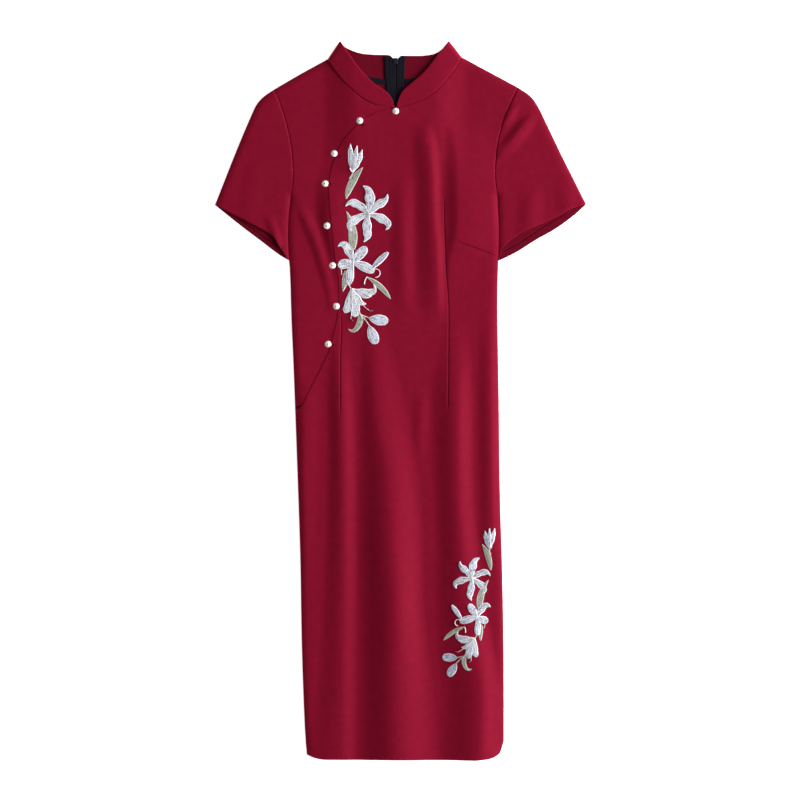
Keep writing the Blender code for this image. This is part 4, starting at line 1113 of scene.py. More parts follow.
# %% Shape the slider and the pull
def soft_box(name, low, high, radius, material):
    """A box with rounded edges."""
    shape = bmesh.new()
    bmesh.ops.create_cube(shape, size=1.0)
    for vertex in shape.verts:
        vertex.co = [a + (c + 0.5) * (b - a) for c, a, b in zip(vertex.co, low, high)]
    bmesh.ops.bevel(shape, geom=shape.edges, offset=radius, segments=3, profile=0.6, affect="EDGES")
    for vertex in shape.verts:
        vertex.co *= MM
    mesh = bpy.data.meshes.new(name)
    shape.to_mesh(mesh)
    shape.free()
    mesh.polygons.foreach_set("use_smooth", [True] * len(mesh.polygons))
    return place(name, mesh, material)


PULL_PIN, PULL_PIN_Z = 1.0, 1.9
PULL_THICK, PULL_TILT = 1.2, 3.6
PULL_MIDDLE, PULL_DISH = -10.0, 0.28
PULL_OUTLINE = [(-0.6, 1.1), (-3, 1.1), (-7, 1.9), (-12, 2.8), (-15.5, 2.9), (-17.6, 2.0), (-18.4, 0.7)]


def make_slider():
    inside = NECK_LIFT + COLLAR_CLOTH + GAP + TAPE_CLOTH + GAP
    outside = NECK_LIFT - GAP
    wide, long = SLIDER_WIDE / 2, SLIDER_LONG / 2
    parts = [
        soft_box("slider_top", (-wide, -long, inside), (wide, long, inside + 1.2), 0.45, ENAMEL),
        soft_box("slider_neck", (-0.9, -0.5, outside - 0.4), (0.9, 3.8, inside + 0.6), 0.2, ENAMEL),
        soft_box("slider_foot", (-wide, -long, outside - 0.7), (wide, long, outside), 0.3, ENAMEL),
        soft_box("slider_cheek_a", (-2.1, -1.2, PULL_PIN_Z - 0.7), (-1.4, 1.2, outside - 0.4), 0.2, ENAMEL),
        soft_box("slider_cheek_b", (1.4, -1.2, PULL_PIN_Z - 0.7), (2.1, 1.2, outside - 0.4), 0.2, ENAMEL),
        tube("slider_pin", [(x, 0, PULL_PIN_Z) for x in (-1.8, 0, 1.8)], PULL_PIN / 2, 16, ENAMEL),
    ]
    made = join("zip_slider_body", parts)
    made.data.transform(Matrix.Translation((NECK_X * MM, SLIDER_Y * MM, 0)))
    return made


def make_pull():
    """A drop-shaped plate with a rounded edge, a dished face and a ring for the pin."""
    outline = dense([(half, y) for y, half in PULL_OUTLINE], 5)
    edge = np.vstack([outline * (-1, 1), outline[::-1]])
    middle = np.array([0.0, PULL_MIDDLE])
    upper = [(0.78, 0.30), (0.9, 0.5), (0.98, 0.36), (1.0, 0.12)]  # share of the outline, height
    levels = upper + [(share, -z) for share, z in reversed(upper)]
    count = len(edge)
    points = [(*(middle + (xy - middle) * share), PULL_THICK * z) for share, z in levels for xy in edge]
    points += [(0, PULL_MIDDLE, z * PULL_DISH * PULL_THICK) for z in (1, -1)]
    index = np.arange(len(levels) * count).reshape(-1, count)
    after = np.roll(index, -1, axis=1)
    faces = np.stack([index[:-1], index[1:], after[1:], after[:-1]], -1).reshape(-1, 4).tolist()
    faces += [(len(points) - 2, a, b) for a, b in zip(index[0], after[0])]
    faces += [(len(points) - 1, b, a) for a, b in zip(index[-1], after[-1])]
    faces = [tuple(map(int, face)) for face in faces]
    plate = place("pull_plate", mesh_of("pull_plate", points, faces, sharp=40), ENAMEL)
    angles = np.linspace(0, 2 * math.pi, 25)[:-1]
    section = [(0.85, -0.35), (1.3, -0.35), (1.42, -0.2), (1.42, 0.2), (1.3, 0.35), (0.85, 0.35)]
    ring = np.array([[(x * 3.0, r * math.cos(t), r * math.sin(t)) for r, x in section] for t in angles])
    index = np.arange(ring.shape[0] * ring.shape[1]).reshape(ring.shape[:2])
    down, across = np.roll(index, -1, axis=0), np.roll(index, -1, axis=1)
    faces = np.stack([index, across, np.roll(across, -1, axis=0), down], -1).reshape(-1, 4).tolist()
    eye = place("pull_eye", mesh_of("pull_eye", ring.reshape(-1, 3), faces, sharp=40), ENAMEL)
    made = join("zip_pull_tab", [plate, eye])
    made.data.transform(Matrix.Rotation(math.radians(PULL_TILT), 4, "X"))
    made.data.transform(Matrix.Translation((NECK_X * MM, SLIDER_Y * MM, PULL_PIN_Z * MM)))
    return made


slider, pull = make_slider(), make_pull()
print("slider and pull made")

# %% [markdown]
# ## The neck binding
# Inside, a narrow dark tape is sewn over the back neck seam on each side of the zip. It follows the
# seam's curve.

# %% Lay the bindings
BINDING_WIDE, BINDING_CLOTH = 8.0, 1.0
BINDING_DROP = 4.8  # how far its lower edge lies below the seam


def lay_binding(side, line, away):
    low = along(line, np.linspace(0.13, 0.8, 46)) - (0, BINDING_DROP)
    start = NECK_X + away * (float(tape_half(504, away)) + 2 * GAP)
    low[:, 0] += (start - low[0, 0]) * np.linspace(1, 0, 46) ** 3
    flat = np.array([low + (0, rise) for rise in np.linspace(0, BINDING_WIDE, 9)])
    if away < 0:
        flat = flat[:, ::-1]
    height = COLLAR_CLOTH + GAP + BINDING_CLOTH - 0.1

    def face(xy):
        return np.full(xy.shape[:-1], height)

    return panel("binding_" + side, flat, face, BINDING_CLOTH - 0.2, TAPE)


bindings = {
    "right": lay_binding("right", RIGHT_BACK_NECK, -1),
    "left": lay_binding("left", LEFT_BACK_NECK, 1),
}
print("bindings laid")

# %% [markdown]
# ## Pearl buttons and their loops
# Eight pearls close the flap, one at the throat and seven down its edge. Each is drilled, and the head of
# its pin shows as a small grey spot with a bright ring. A pearl's gloss comes from thin clear layers over
# a white core, so its material is a soft white under a coat, with a faint cloud of rose and green, and a
# faint painted glow that lifts its shaded side. A cord of crepe, darker than the dress, comes from the
# flap and loops round the shank.


# %% Make the pearl's finish
def pearl_finish():
    made, tree, shader = new_material("white_pearl")
    cloud = speckle(tree, 260.0)
    rosy, greenish = (0.86, 0.83, 0.80), (0.90, 0.91, 0.88)
    links = {"Base Color": blend_colour(tree, cloud, rosy, greenish), "Normal": bump(tree, cloud, 0.00005, 0.4)}
    finish(shader, links, rough=0.28, gloss=0.6, coat=0.8, coat_rough=0.12)
    finish(shader, milky=0.15, milky_reach=(1.0, 0.8, 0.7), milky_scale=0.002)
    # Painted glow: the pearl gives off a little white light, which lifts its shaded side.
    finish(shader, glow_colour=(1.0, 0.97, 0.95, 1), glow=0.1)
    return made


def pin_finish():
    made, tree, shader = new_material("pin_head")
    brushed = blend_colour(tree, speckle(tree, 2400.0), (0.05, 0.05, 0.06), (0.13, 0.13, 0.15))
    finish(shader, {"Base Color": brushed}, metal=0.6, rough=0.4)
    return made


PEARL_WHITE, PIN = pearl_finish(), pin_finish()

# %% Turn the pearls
PEARL, SHANK, PEARL_OVER_FLAP = 10.4, 1.4, 1.4
NECK_PEARL = (-7.5, 451.5)
FLAP_PEARLS = [
    (-63.5, 436.5), (-103.4, 385.6), (-117.5, 338.8), (-114.8, 273), (-106, 211.2), (-100, 147.7),
    (-112.9, 88.8),
]  # fmt: skip
PIN_OFFSET = (-0.7, -0.35)


def turned(name, profile, sides, material, at=(0, 0, 0)):
    """A solid turned about Z, from (radius, z) rows that start and end on the axis."""
    angles = 2 * np.pi * np.arange(sides) / sides
    rings = [(r * math.cos(t), r * math.sin(t), z) for r, z in profile[1:-1] for t in angles]
    points = np.array([(0, 0, profile[0][1]), *rings, (0, 0, profile[-1][1])]) + at
    index = 1 + np.arange(len(rings)).reshape(-1, sides)
    after = np.roll(index, -1, axis=1)
    faces = np.stack([index[:-1], after[:-1], after[1:], index[1:]], -1).reshape(-1, 4).tolist()
    faces += [(0, b, a) for a, b in zip(index[0].tolist(), after[0].tolist())]
    faces += [(len(points) - 1, a, b) for a, b in zip(index[-1].tolist(), after[-1].tolist())]
    return place(name, mesh_of(name, points, faces, sharp=50), material)


def make_pearl(number, xy):
    raised = float(lift(xy))
    top = float(front_height(xy)) + raised
    foot = (top if number == 1 else float(right_front_height(xy)) + raised) + 3 * GAP
    radius, low = PEARL / 2, top + PEARL_OVER_FLAP
    turns = np.linspace(math.asin(SHANK / 2 / radius), math.pi, 30)[:-1]
    ball = [(radius * math.sin(t), low + radius - radius * math.cos(t)) for t in turns]
    profile = [(0, foot), (SHANK / 2, foot)] + ball + [(0, low + PEARL)]
    pearl = turned(f"button_{number}", profile, 40, PEARL_WHITE, (*xy, 0))
    side, up = math.hypot(*PIN_OFFSET), low + radius
    high = up + math.sqrt(radius**2 - side**2)
    head = [(0, high - 0.5), (1.1, high - 0.5), (1.1, high - 0.02), (0.8, high + 0.1), (0, high + 0.13)]
    pin = turned("pin", head, 16, PIN, (xy[0] + PIN_OFFSET[0], xy[1] + PIN_OFFSET[1], 0))
    made = join(f"button_{number}", [pearl, pin])
    made.visible_shadow = False  # the low light would draw its shadow far across the cloth
    return made


PLACES = [np.array(spot, float) for spot in [NECK_PEARL] + FLAP_PEARLS]
pearls = [make_pearl(number, xy) for number, xy in enumerate(PLACES, 1)]
print(len(pearls), "pearls")

# %% Bend the loops
LOOP_CORD, LOOP_ROUND, LOOP_ENDS = 1.1, 1.65, 0.75
LOOP_LEG, LOOP_LEG_NECK = 10.5, 4.6


def make_loop(number, xy):
    flap = dense(FLAP)
    near = nearest(xy, flap)[2]
    step = flap[np.clip(np.abs(flap - near[:2]).sum(1).argmin() + np.array([-1, 1]), 0, len(flap) - 1)]
    along_edge = (step[1] - step[0]) / np.linalg.norm(step[1] - step[0])
    at_neck = number == 1
    inward = np.array([0.0, 1.0]) if at_neck else np.array([along_edge[1], -along_edge[0]])
    leg = LOOP_LEG_NECK if at_neck else LOOP_LEG
    local = [(leg, LOOP_ENDS), (leg / 2, LOOP_ROUND * 0.9)]
    half_turn = np.radians(np.linspace(90, 270, 7))
    local += [(LOOP_ROUND * math.cos(t), LOOP_ROUND * math.sin(t)) for t in half_turn]
    local += [(leg / 2, -LOOP_ROUND * 0.9), (leg, -LOOP_ENDS)]
    side = np.array([-inward[1], inward[0]])
    flat = dense([xy + u * inward + v * side for u, v in local], 5)
    height = front_height(flat) + lift(flat) + GAP + LOOP_CORD / 2
    return tube(f"cord_loop_{number}", np.column_stack([flat, height]), LOOP_CORD / 2, 10, CORD_CREPE)


loops = [make_loop(number, xy) for number, xy in enumerate(PLACES, 1)]
print(len(loops), "loops")

# %% [markdown]
# ## Thread
# Embroidery is thousands of short threads laid side by side. Each is a line of two or three points that
# knows its colour and its thickness, and a node tree turns all the lines into round threads at once. The
# tree's own inputs are the thread's radius, its number of sides, and how unevenly it was pulled.


# %% Build the tree that makes thread
def thread_tree():
    """Edges in, round threads out, each as thick as its points say."""
    tree, given = start_tree("round_thread", [
        ("Stitches", "Geometry"), ("Thread radius", "Float", 0.00025), ("Sides", "Int", 4),
        ("Unevenness", "Float", 0.1), ("Seed", "Int", 1), ("Finish", "Material"),
    ])  # fmt: skip
    curve = node(tree, "GeometryNodeMeshToCurve", {0: given["Stitches"]}).outputs[0]
    inputs = {"Resolution": given["Sides"], "Radius": given["Thread radius"]}
    ring = node(tree, "GeometryNodeCurvePrimitiveCircle", inputs).outputs[0]
    own = node(tree, "GeometryNodeInputNamedAttribute", {"Name": "thickness"}, data_type="FLOAT").outputs[0]
    size = maths(tree, "MULTIPLY", uneven_size(tree, given), own)
    inputs = {"Curve": curve, "Profile Curve": ring, "Scale": size, "Fill Caps": True}
    threads = node(tree, "GeometryNodeCurveToMesh", inputs).outputs[0]
    smooth = node(tree, "GeometryNodeSetShadeSmooth", {"Geometry": threads}).outputs[0]
    return end_tree(tree, smooth, given)


def thread_finish():
    """Silky thread: its own colour, a gloss along it, a soft bloom, and a faint painted glow of its own colour.
    """
    made, tree, shader = new_material("embroidery_thread")
    own, twist = stored(tree, "thread_colour", "Color"), speckle(tree, 1600.0, 1.0)
    shade = between(tree, twist, 0.0, 1.0, to_min=0.84, to_max=1.14)
    # The emission of the thread's own colour is a painted glow, which lifts the whites.
    links = {"Base Color": scaled(tree, own, shade), "Emission Color": own}
    links["Normal"] = bump(tree, twist, 0.00006, 0.6)
    finish(shader, links, glow=0.08, rough=0.42, gloss=0.5, sheen=0.2)
    return made


THREADS, SILK = thread_tree(), thread_finish()

# %% [markdown]
# ## The lilies
# A spray of lilies is worked twice: full size beside the flap, and smaller, mirrored and turned on the
# left of the skirt. No petal is drawn point by point. A rib leaves its foot at a heading, bends evenly
# and hooks at its tip, a kind says how the width changes along it, and a bloom is a fan of such petals:
# all round its foot in the star and the open bloom, and to one side in the bell and the bud.

# %% Grow the forms of a spray
BLOOMS = {  # heading from the bloom's own, length, width, bend, hook, kind
    "star": [
        (120, 46, 12.5, 30, 95, "petal"), (-120, 46, 12.5, -30, -95, "petal"),
        (180, 46, 13.5, 30, -60, "petal"), (60, 44, 12, 50, 60, "petal"), (-60, 44, 12, -40, 70, "petal"),
        (0, 48, 14.5, 30, 50, "petal"),
    ],
    "open": [
        (36, 42, 13, 40, 80, "petal"), (-36, 32, 14.5, -10, 0, "oval"), (108, 24, 14.5, 10, 0, "oval"),
        (180, 36, 12.5, 40, -50, "blunt"), (-108, 36, 14.5, -14, 0, "oval"),
    ],
    "bell": [
        (75, 46, 10, 30, 110, "petal"), (50, 34, 9, -20, 60, "petal"), (-24, 38, 14, -10, -50, "blunt"),
        (24, 34, 10, 20, 50, "petal"), (0, 43, 15, 10, -45, "blunt"),
    ],
    "bud": [(14, 44, 8.5, -10, 0, "petal"), (-14, 38, 9.5, 10, 0, "petal"), (0, 42, 8, 0, 0, "petal")],
    "seed": [(0, 30, 16, 4, 0, "oval")],
    "long_bud": [(0, 38, 9, -6, 0, "oval")],
}  # fmt: skip
STAMENS = {  # heading from the bloom's own, length
    "star": ((-25, 14), (0, 16), (25, 14)),
    "open": ((-15, 17), (10, 17)),
    "bell": ((-14, 46), (8, 50), (28, 44)),
}
ANTHER_TURN, ANTHER_LONG = 50, 5
BLOOMS_AT = [  # bloom, foot, heading
    ("bud", (-23, 106), 80), ("star", (2, 41), 92), ("open", (-22, -35), 84), ("long_bud", (6, -46), 45),
    ("bell", (-24, -77), -78), ("seed", (3, -122), -8), ("seed", (3, -134), -68),
]  # fmt: skip
GREENS_AT = [  # kind, width, colour, foot, heading, length, bend, hook
    ("stem", 2, "stem", (-28, 96), 60, 12, 30, 0), ("leaf", 11, "leaf", (-7, 113), -118, 56, 30, 0),
    ("blade", 13, "leaf", (-24, -14), 98, 60, 40, 0), ("stem", 2, "stem", (-6, 38), -140, 16, -20, 0),
    ("blade", 10, "leaf", (-31, -48), -102, 33, 0, 0), ("stem", 1.7, "stem", (-40, -30), -90, 24, 10, 0),
    ("leaf", 8, "leaf", (0, -58), -43, 50, -30, 0), ("stem", 2, "stem", (-30, -66), -65, 12, 0, 0),
    ("blade", 8.5, "leaf", (-11, -116), -120, 38, -80, -60),
    ("stem", 1.7, "stem", (-13, -115), -22, 18, 0, 0), ("stem", 1.7, "stem", (-6, -120), -55, 17, 0, 0),
]  # fmt: skip
SCROLLS_AT = [  # foot, heading, length, bend
    ((9, -47), -70, 26, -230), ((0, -57), -110, 13, 40), ((-27, 112), -65, 6, 0),
]  # fmt: skip

RIB_STEPS, HOOK_FROM = 8, 0.6


def rib_of(foot, heading, length, bend=0.0, hook=0.0):
    """A middle line from its foot. Its heading turns evenly by the bend, and near the tip by the hook."""
    share = (np.arange(RIB_STEPS) + 0.5) / RIB_STEPS
    angle = np.radians(heading + bend * (share - 0.5) + hook * ease((share - HOOK_FROM) / (1 - HOOK_FROM)))
    steps = length / RIB_STEPS * np.column_stack([np.cos(angle), np.sin(angle)])
    return np.vstack([foot, np.add(foot, np.cumsum(steps, axis=0))])


def grow_spray():
    """The spray's forms, (kind, width, colour, rib), and its single lines, (colour, rib)."""
    forms = [(kind, width, colour, rib_of(*way)) for kind, width, colour, *way in GREENS_AT]
    lines = [("scroll", rib_of(*way)) for way in SCROLLS_AT]
    for bloom, foot, heading in BLOOMS_AT:
        for turn, length, width, bend, hook, kind in BLOOMS[bloom]:
            colour = "bud" if bloom in ("seed", "long_bud") else "petal"
            forms.append((kind, width, colour, rib_of(foot, heading + turn, length, bend, hook)))
        for turn, length in STAMENS.get(bloom, ()):
            thread = rib_of(foot, heading + turn, length, turn)
            anther = rib_of(thread[-1], heading + turn + ANTHER_TURN, ANTHER_LONG)
            lines += [("filament", thread), ("anther", anther)]
    return forms, lines


FORMS, LINES = grow_spray()
print(len(FORMS), "forms and", len(LINES), "lines in a spray")

# %% How the forms widen, their colours and where the sprays are
KINDS = {
    "petal": [(0, 0.34), (0.15, 0.58), (0.35, 0.9), (0.55, 1.0), (0.72, 0.8), (0.86, 0.42), (1, 0.06)],
    "leaf": [(0, 0.08), (0.18, 0.6), (0.45, 1.0), (0.75, 0.82), (1, 0.1)],
    "blade": [(0, 0.72), (0.2, 0.98), (0.4, 1.0), (0.75, 0.56), (1, 0.04)],
    "oval": [(0, 0.12), (0.18, 0.62), (0.5, 1.0), (0.8, 0.86), (0.94, 0.5), (1, 0.16)],
    "blunt": [(0, 0.3), (0.25, 0.72), (0.55, 1.0), (0.85, 0.8), (0.96, 0.5), (1, 0.2)],
    "stem": [(0, 1.0), (1, 0.85)],
}
THREAD_COLOURS = {
    "petal": ((0.86, 0.92, 0.97), (0.68, 0.73, 0.83)),
    "bud": ((0.85, 0.90, 0.97), (0.64, 0.69, 0.84)),
    "leaf": ((0.58, 0.62, 0.53), (0.40, 0.44, 0.36)),
    "stem": ((0.66, 0.67, 0.57), (0.66, 0.67, 0.57)),
    "filament": ((0.80, 0.80, 0.76), (0.80, 0.80, 0.76)),
    "anther": ((0.13, 0.11, 0.12), (0.13, 0.11, 0.12)),
    "scroll": ((0.84, 0.86, 0.90), (0.84, 0.86, 0.90)),
}
# The lower spray's threads are darker by its shade: painted shade that tones down the stronger light where it
# lies on the skirt.
PUT = {
    "upper": {"at": (-52, 251), "mirror": 1, "size": 1.0, "turn": 0, "shade": 1.0},
    "lower": {"at": (107, -308), "mirror": -1, "size": 0.77, "turn": -10, "shade": 0.84},
}

# %% [markdown]
# ## Work a form
# A worker first covers a form with long threads that run with the rib, in rows broken like bricks, and
# then covers its raw edge with short threads laid across a narrow border. The fill is a duller lilac grey
# and the border is white, which is what makes the petals stand out. A low pad under both gives the form
# its crown.

# %% Lay the threads of a form
STITCH_STEP = 0.6  # from one thread to the next
FILL_STITCH = 3.9  # length of a filling stitch
FILL_SHORTEST = 0.8
ROW = 1.8  # lanes in one row start their stitches together
# Painted shade: the dark colour of the pit where a stitch goes down.
PAINTED_HOLE_SHADE = np.array([0.19, 0.15, 0.21])  # colour of the pit where a stitch goes down
BORDER = 1.7
LAYER, LAYERS = 0.28, 4
TOUCHING = 0.7  # share of two forms' half widths within which one lies on the other
PAD_HIGH, PAD_STEP = 0.12, 1.6
PAD_ACROSS = np.array([-1.0, -0.82, -0.45, 0.0, 0.45, 0.82, 1.0])
WAVES, WAVE_DEEP = 2.6, 0.1  # a petal's edge is frilled
COLOUR_SPREAD, BRIGHTEST = 0.09, 0.97
WIDE = 7.0  # forms wider than this have a darker middle rib and a shadow line by the border
RIB_TONE, BORDER_TONE, SPOT_TONE, SPOTTED = 0.6, 0.55, 0.5, 0.2
RISE = np.array([0, 0.07, 0])  # a stitch stands highest in its middle


class Work:
    """What a spray is made of: pads, and lines of thread with their colours and thicknesses."""

    def __init__(self, seed, shade):
        self.lines, self.colours, self.sizes, self.pads, self.ribs = [], [], [], [], []
        self.chance, self.shade = np.random.default_rng(seed), shade

    def thread(self, xy, height, colour, size=1.0):
        self.lines.append(np.column_stack([xy, np.broadcast_to(height, len(xy))]))
        spread = 1 + COLOUR_SPREAD * self.chance.standard_normal()
        shade = np.clip(np.asarray(colour) * self.shade * spread, 0, BRIGHTEST)
        self.colours.append(np.broadcast_to(shade, (len(xy), 3)))
        self.sizes.append(np.full(len(xy), size))

    def layer_of(self, rib, width):
        """One layer above whatever this form overlaps."""
        line, level = along(rib, 24), 0
        for other, half, below in self.ribs:
            gap = np.linalg.norm(line[:, None] - other[None], axis=-1).min()
            if gap < TOUCHING * (half + width / 2):
                level = max(level, min(below + 1, LAYERS))
        self.ribs.append((line, width / 2, level))
        return level


def frame_of(rib):
    """Turns a share of the rib's length and a distance to its left into xy."""
    steps = np.linspace(0, 1, 161)
    line = along(rib, steps)
    run = np.gradient(line, axis=0)
    left = np.stack([-run[:, 1], run[:, 0]], axis=1) / np.linalg.norm(run, axis=1, keepdims=True)

    def spot(share, off):
        share = np.clip(np.asarray(share, float), 0, 1)
        base = np.stack([np.interp(share, steps, column) for column in line.T], axis=-1)
        side = np.stack([np.interp(share, steps, column) for column in left.T], axis=-1)
        return base + np.asarray(off, float)[..., None] * side

    return spot


class Form:
    """One petal, leaf, bud or stem: its rib, its half width along it, its level and how much it crowns."""

    def __init__(self, work, kind, width, colour, rib, phase):
        self.work, self.kind, self.width, self.phase = work, kind, width, phase
        self.rows, self.length, self.spot = dense(KINDS[kind]), length_of(rib), frame_of(rib)
        self.level = LAYER * work.layer_of(rib, width)
        self.edge_colour, self.fill_colour = map(np.array, THREAD_COLOURS[colour])
        self.crown = 0.5 * min(1.0, width / 10.0)

    def half(self, share):
        frill = WAVE_DEEP * np.sin(2 * np.pi * WAVES * share + self.phase) if self.kind == "petal" else 0.0
        return self.width / 2 * np.interp(share, self.rows[:, 0], self.rows[:, 1]) * (1 + frill)

    def lay_pad(self):
        share = np.linspace(0, 1, max(6, int(self.length / PAD_STEP)))
        across = PAD_ACROSS * 0.9
        pad = self.spot(share[:, None] * np.ones(len(across)), self.half(share)[:, None] * across)
        top = self.level + PAD_HIGH + self.crown * (1 - across**2) * np.ones((len(share), 1))
        self.work.pads.append((pad, top, self.fill_colour))

    def tone(self, lane, middle, spotted):
        """How light a filling stitch is: by its place along the form, and darker in the rib and the shadows."""
        tone = 0.80 + 0.24 * min(1.0, 2.4 * middle) + 0.10 * math.sin(1.7 * lane + self.phase)
        by_border = self.half(middle) - BORDER - abs(lane) < 0.45
        tone *= RIB_TONE if abs(lane) < 0.4 and self.width > WIDE else 1.0
        tone *= BORDER_TONE if by_border and self.width > WIDE else 1.0
        return tone * (SPOT_TONE if spotted else 1.0)

    def fill(self):
        """Long threads that run with the rib, in rows broken like bricks."""
        chance = self.work.chance
        inner = np.maximum(self.half(np.linspace(0, 1, 200)) - 0.55 * BORDER, 0)
        most = int(float(inner.max()) / STITCH_STEP)
        starts, spots = chance.uniform(0, 1, 64), chance.uniform(0, 1, 97)
        step = FILL_STITCH / self.length
        for lane in np.arange(-most, most + 1) * STITCH_STEP:
            within = np.nonzero(inner > abs(lane) - 1e-6)[0]
            if len(within) < 6 or self.kind == "stem":
                continue
            start, end = within[0] / 199, within[-1] / 199
            row = int(round(lane / ROW))
            shift = starts[row % len(starts)] + 0.12 * chance.uniform(-1, 1)
            for cut in np.arange(start - shift * step, end, step):
                low, high = max(cut, start), min(cut + 0.97 * step, end)
                if high - low < FILL_SHORTEST / self.length:
                    continue
                run = np.linspace(low, high, 3)
                crown = self.crown * (1 - (lane / max(self.half(run).max(), 0.5)) ** 2)
                spot = spots[(7 * row + int(cut * self.length / FILL_STITCH)) % len(spots)]
                colour = self.fill_colour * self.tone(lane, (low + high) / 2, spot < SPOTTED)
                # Each stitch starts in the painted shade of its pit and lightens along its length.
                hole_shade_and_colour = [colour * 0.2 + PAINTED_HOLE_SHADE * 0.8, colour * 1.2, colour * 1.15]
                self.work.thread(self.spot(run, np.full(3, lane)), self.level + 0.3 + crown + RISE, hole_shade_and_colour)

    def bind(self):
        """Short threads across the border, which cover the raw edge, or right across a stem."""
        count = max(4, int(self.length / (STITCH_STEP * 0.95)))
        for side in (-1, 1):
            for k in range(count):
                middle = (k + 0.5) / count
                outer = float(self.half(middle)) + 0.15
                band = min(BORDER * (0.85 + 0.2 * math.sin(0.9 * k + self.phase)), outer)
                slant = 0.35 * band / self.length
                run = np.array([middle - slant, middle, middle + slant])
                if self.kind == "stem":
                    off = side * np.array([0.0, 0.5 * outer, outer])
                    height = np.array([0.75, 0.6, 0.1]) + 0.45 * self.level
                else:
                    off = side * np.array([outer - band, outer - 0.45 * band, outer])
                    low = self.level + 0.25 + self.crown * (1 - ((outer - band) / max(outer, 0.5)) ** 2)
                    height = np.array([low, max(low, self.level + 0.5) + 0.06, 0.45 * self.level + 0.02])
                self.work.thread(self.spot(run, off), height, self.edge_colour)


LINE_SIZES = {"anther": 2.5, "filament": 1.5, "scroll": 2.6}


def work_line(work, colour, rib):
    """A single thick line: a filament, an anther or a scroll."""
    size = LINE_SIZES[colour]
    steps = np.linspace(0, 1, max(4, int(length_of(rib) / 1.2)))
    level = LAYER * work.layer_of(rib, size / 2)
    height = level + 0.8 + 0.25 * np.sin(np.pi * steps)
    work.thread(along(rib, steps), height, THREAD_COLOURS[colour][0], size)


# %% Make a spray
STEM_SIZE = 0.65
PAD_SUNK, PAD_SHADE = 0.25, 0.8


def put(rib, spray):
    """A rib of the pattern where the spray has it."""
    turn = math.radians(spray["turn"])
    local = np.array(rib, float) * (spray["mirror"], 1) * spray["size"]
    turned_rib = local @ np.array([[math.cos(turn), math.sin(turn)], [-math.sin(turn), math.cos(turn)]])
    return (turned_rib + spray["at"]).tolist()


def on_cloth(points):
    """Raises (x, y, height) rows from heights over the cloth to heights over the table."""
    xy = points[..., :2]
    return np.concatenate([xy, (points[..., 2] + main_front_face(xy) + lift(xy))[..., None]], axis=-1)


def pads_mesh(name, pads):
    """Closed low pads, one for each form, sunk a little into the cloth."""
    points, faces, colours, start = [], [], [], 0
    for flat, top, colour in pads:
        rows, columns = flat.shape[:2]
        upper = np.dstack([flat, top])
        lower = np.dstack([flat, np.full((rows, columns), -PAD_SUNK)])
        index = start + np.arange(rows * columns).reshape(rows, columns)
        a, b, c, d = index[:-1, :-1], index[:-1, 1:], index[1:, :-1], index[1:, 1:]
        below = rows * columns
        faces.append(np.stack([a, c, d, b], -1).reshape(-1, 4))
        faces.append(np.stack([a, b, d, c], -1).reshape(-1, 4) + below)
        edge = open_edges(index, False)[0][0]
        after = np.roll(edge, -1)
        faces.append(np.stack([after, edge, edge + below, after + below], -1))
        points += [upper.reshape(-1, 3), lower.reshape(-1, 3)]
        colours.append(np.broadcast_to(colour, (2 * below, 3)))
        start += 2 * below
    mesh = mesh_of(name, on_cloth(np.vstack(points)), np.vstack(faces).tolist())
    shape = bmesh.new()
    shape.from_mesh(mesh)
    bmesh.ops.recalc_face_normals(shape, faces=shape.faces)
    shape.to_mesh(mesh)
    shape.free()
    keep_colours(mesh, np.vstack(colours) * PAD_SHADE)
    return place(name, mesh, SILK)


def keep_colours(mesh, colours):
    layer = mesh.attributes.new("thread_colour", "FLOAT_COLOR", "POINT")
    opaque = np.column_stack([colours, np.ones(len(colours))])
    layer.data.foreach_set("color", opaque.astype(np.float32).ravel())


def make_spray(name, spray, seed):
    work = Work(seed, spray["shade"])
    for number, (kind, width, colour, rib) in enumerate(FORMS):
        size = STEM_SIZE if kind == "stem" else spray["size"]
        form = Form(work, kind, width * size, colour, put(rib, spray), 1.3 * number)
        form.lay_pad()
        form.fill()
        form.bind()
    for colour, rib in LINES:
        work_line(work, colour, put(rib, spray))
    raised = on_cloth(np.vstack(work.lines))
    counts = np.cumsum([len(line) for line in work.lines])[:-1]
    mesh = paths_mesh(name, np.split(raised, counts))
    keep_colours(mesh, np.vstack(work.colours))
    mesh.attributes.new("thickness", "FLOAT", "POINT").data.foreach_set("value", np.concatenate(work.sizes))
    values = {"Thread radius": 0.27 * MM, "Sides": 4, "Unevenness": 0.12, "Seed": seed, "Finish": SILK}
    threads = grow(name + "_threads", mesh, THREADS, values)
    made = join(name, [pads_mesh(name + "_pads", work.pads), threads])
    triangles = sum(len(face.vertices) - 2 for face in made.data.polygons)
    print(name, len(work.lines), "threads,", triangles, "triangles")
    return made


sprays = {name: make_spray("lilies_" + name, spray, 11 + k) for k, (name, spray) in enumerate(PUT.items())}

# %% [markdown]
# ## Hem stitches
# A hem is caught by small stitches that show on the face as a row of short dashes. One stitch is a thread
# that comes up, lies on the cloth and goes down again. The tree repeats it above the skirt's hem and the
# two cuffs.

